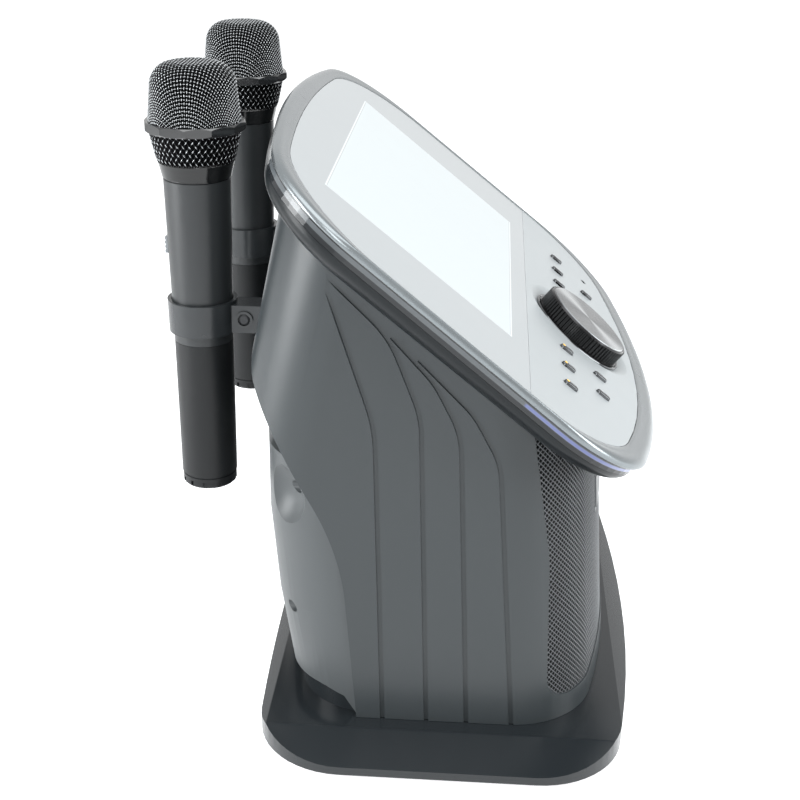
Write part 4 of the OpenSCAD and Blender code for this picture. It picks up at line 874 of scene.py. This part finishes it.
smooth_copy("main_housing", "machine", SHELL)
smooth_copy("rear_cover", "machine", COVER)
smooth_copy("base_plate", "machine", BASE)
smooth_copy("mic_cradles", "machine", CRADLE)
soften("tray_front", 0.5)
for side in ("left", "right"):
    soften(f"mic_{side}_ring", 0.4)
    smooth_copy(f"mic_{side}_handle", f"mic_{side}", MIC_BODY)
    smooth_copy(f"mic_{side}_tail", f"mic_{side}", MIC_TAIL)

# ---------------------------------------------------------------- studio


def studio():
    """A white sweep for camera and reflections; a darker room lights the object's colours."""
    bpy.ops.mesh.primitive_plane_add(size=12, location=(0, 0, 0))
    floor = bpy.context.object
    floor.name = "floor"
    m = bpy.data.materials.new("floor")
    m.use_nodes = True
    g = Graph(m.node_tree)
    p = m.node_tree.nodes["Principled BSDF"]
    path = g.node("ShaderNodeLightPath").outputs
    seen = g.math("MAXIMUM", path["Is Camera Ray"], path["Is Glossy Ray"])
    seen = g.math("MAXIMUM", seen, path["Is Transmission Ray"])
    dark, white = (0.34, 0.35, 0.355, 1), (0.90, 0.91, 0.92, 1)
    g.put(p.inputs["Base Color"], g.mix(seen, dark, white))
    p.inputs["Roughness"].default_value = 0.95
    p.inputs["Emission Color"].default_value = (1, 1, 1, 1)
    g.put(p.inputs["Emission Strength"], g.math("MULTIPLY", seen, 0.80))
    floor.data.materials.append(m)
    w = bpy.data.worlds.new("studio")
    scene.world = w
    w.use_nodes = True
    t = w.node_tree
    bg = t.nodes["Background"]
    back = t.nodes.new("ShaderNodeBackground")
    back.inputs["Color"].default_value = (1, 1, 1, 1)
    back.inputs["Strength"].default_value = 1.0
    bg.inputs["Color"].default_value = (0.93, 0.97, 1.0, 1)
    bg.inputs["Strength"].default_value = 0.21
    path = t.nodes.new("ShaderNodeLightPath")
    mix = t.nodes.new("ShaderNodeMixShader")
    kind = path.outputs["Is Camera Ray"]
    for name in ("Is Glossy Ray", "Is Transmission Ray"):
        most = t.nodes.new("ShaderNodeMath")
        most.operation = "MAXIMUM"
        t.links.new(kind, most.inputs[0])
        t.links.new(path.outputs[name], most.inputs[1])
        kind = most.outputs[0]
    t.links.new(kind, mix.inputs[0])
    t.links.new(bg.outputs[0], mix.inputs[1])
    t.links.new(back.outputs[0], mix.inputs[2])
    t.links.new(mix.outputs[0], t.nodes["World Output"].inputs[0])

    def area(name, place, target, size, power, size_y=None):
        """A lamp of size by size_y metres at place, aimed at target."""
        light = bpy.data.lights.new(name, "AREA")
        light.energy = power
        light.shape = "RECTANGLE"
        light.size = size
        light.size_y = size_y or size
        light.color = (0.97, 0.99, 1.0)
        o = bpy.data.objects.new(name, light)
        o.location = place
        o.rotation_euler = (Vector(target) - Vector(place)).to_track_quat("-Z", "Y").to_euler()
        scene.collection.objects.link(o)

    area("top", (-0.3, -0.2, 1.7), (0, 0, 0.2), 1.5, 20)
    area("front", (-0.35, -1.6, 0.7), (0, 0, 0.15), 0.9, 20, 1.1)
    area("behind", (-0.6, 1.5, 0.5), (0, 0.1, 0.2), 0.7, 26, 1.2)
    area("side", (-1.7, 0.35, 0.9), (0, 0, 0.15), 0.5, 8, 1.0)


studio()
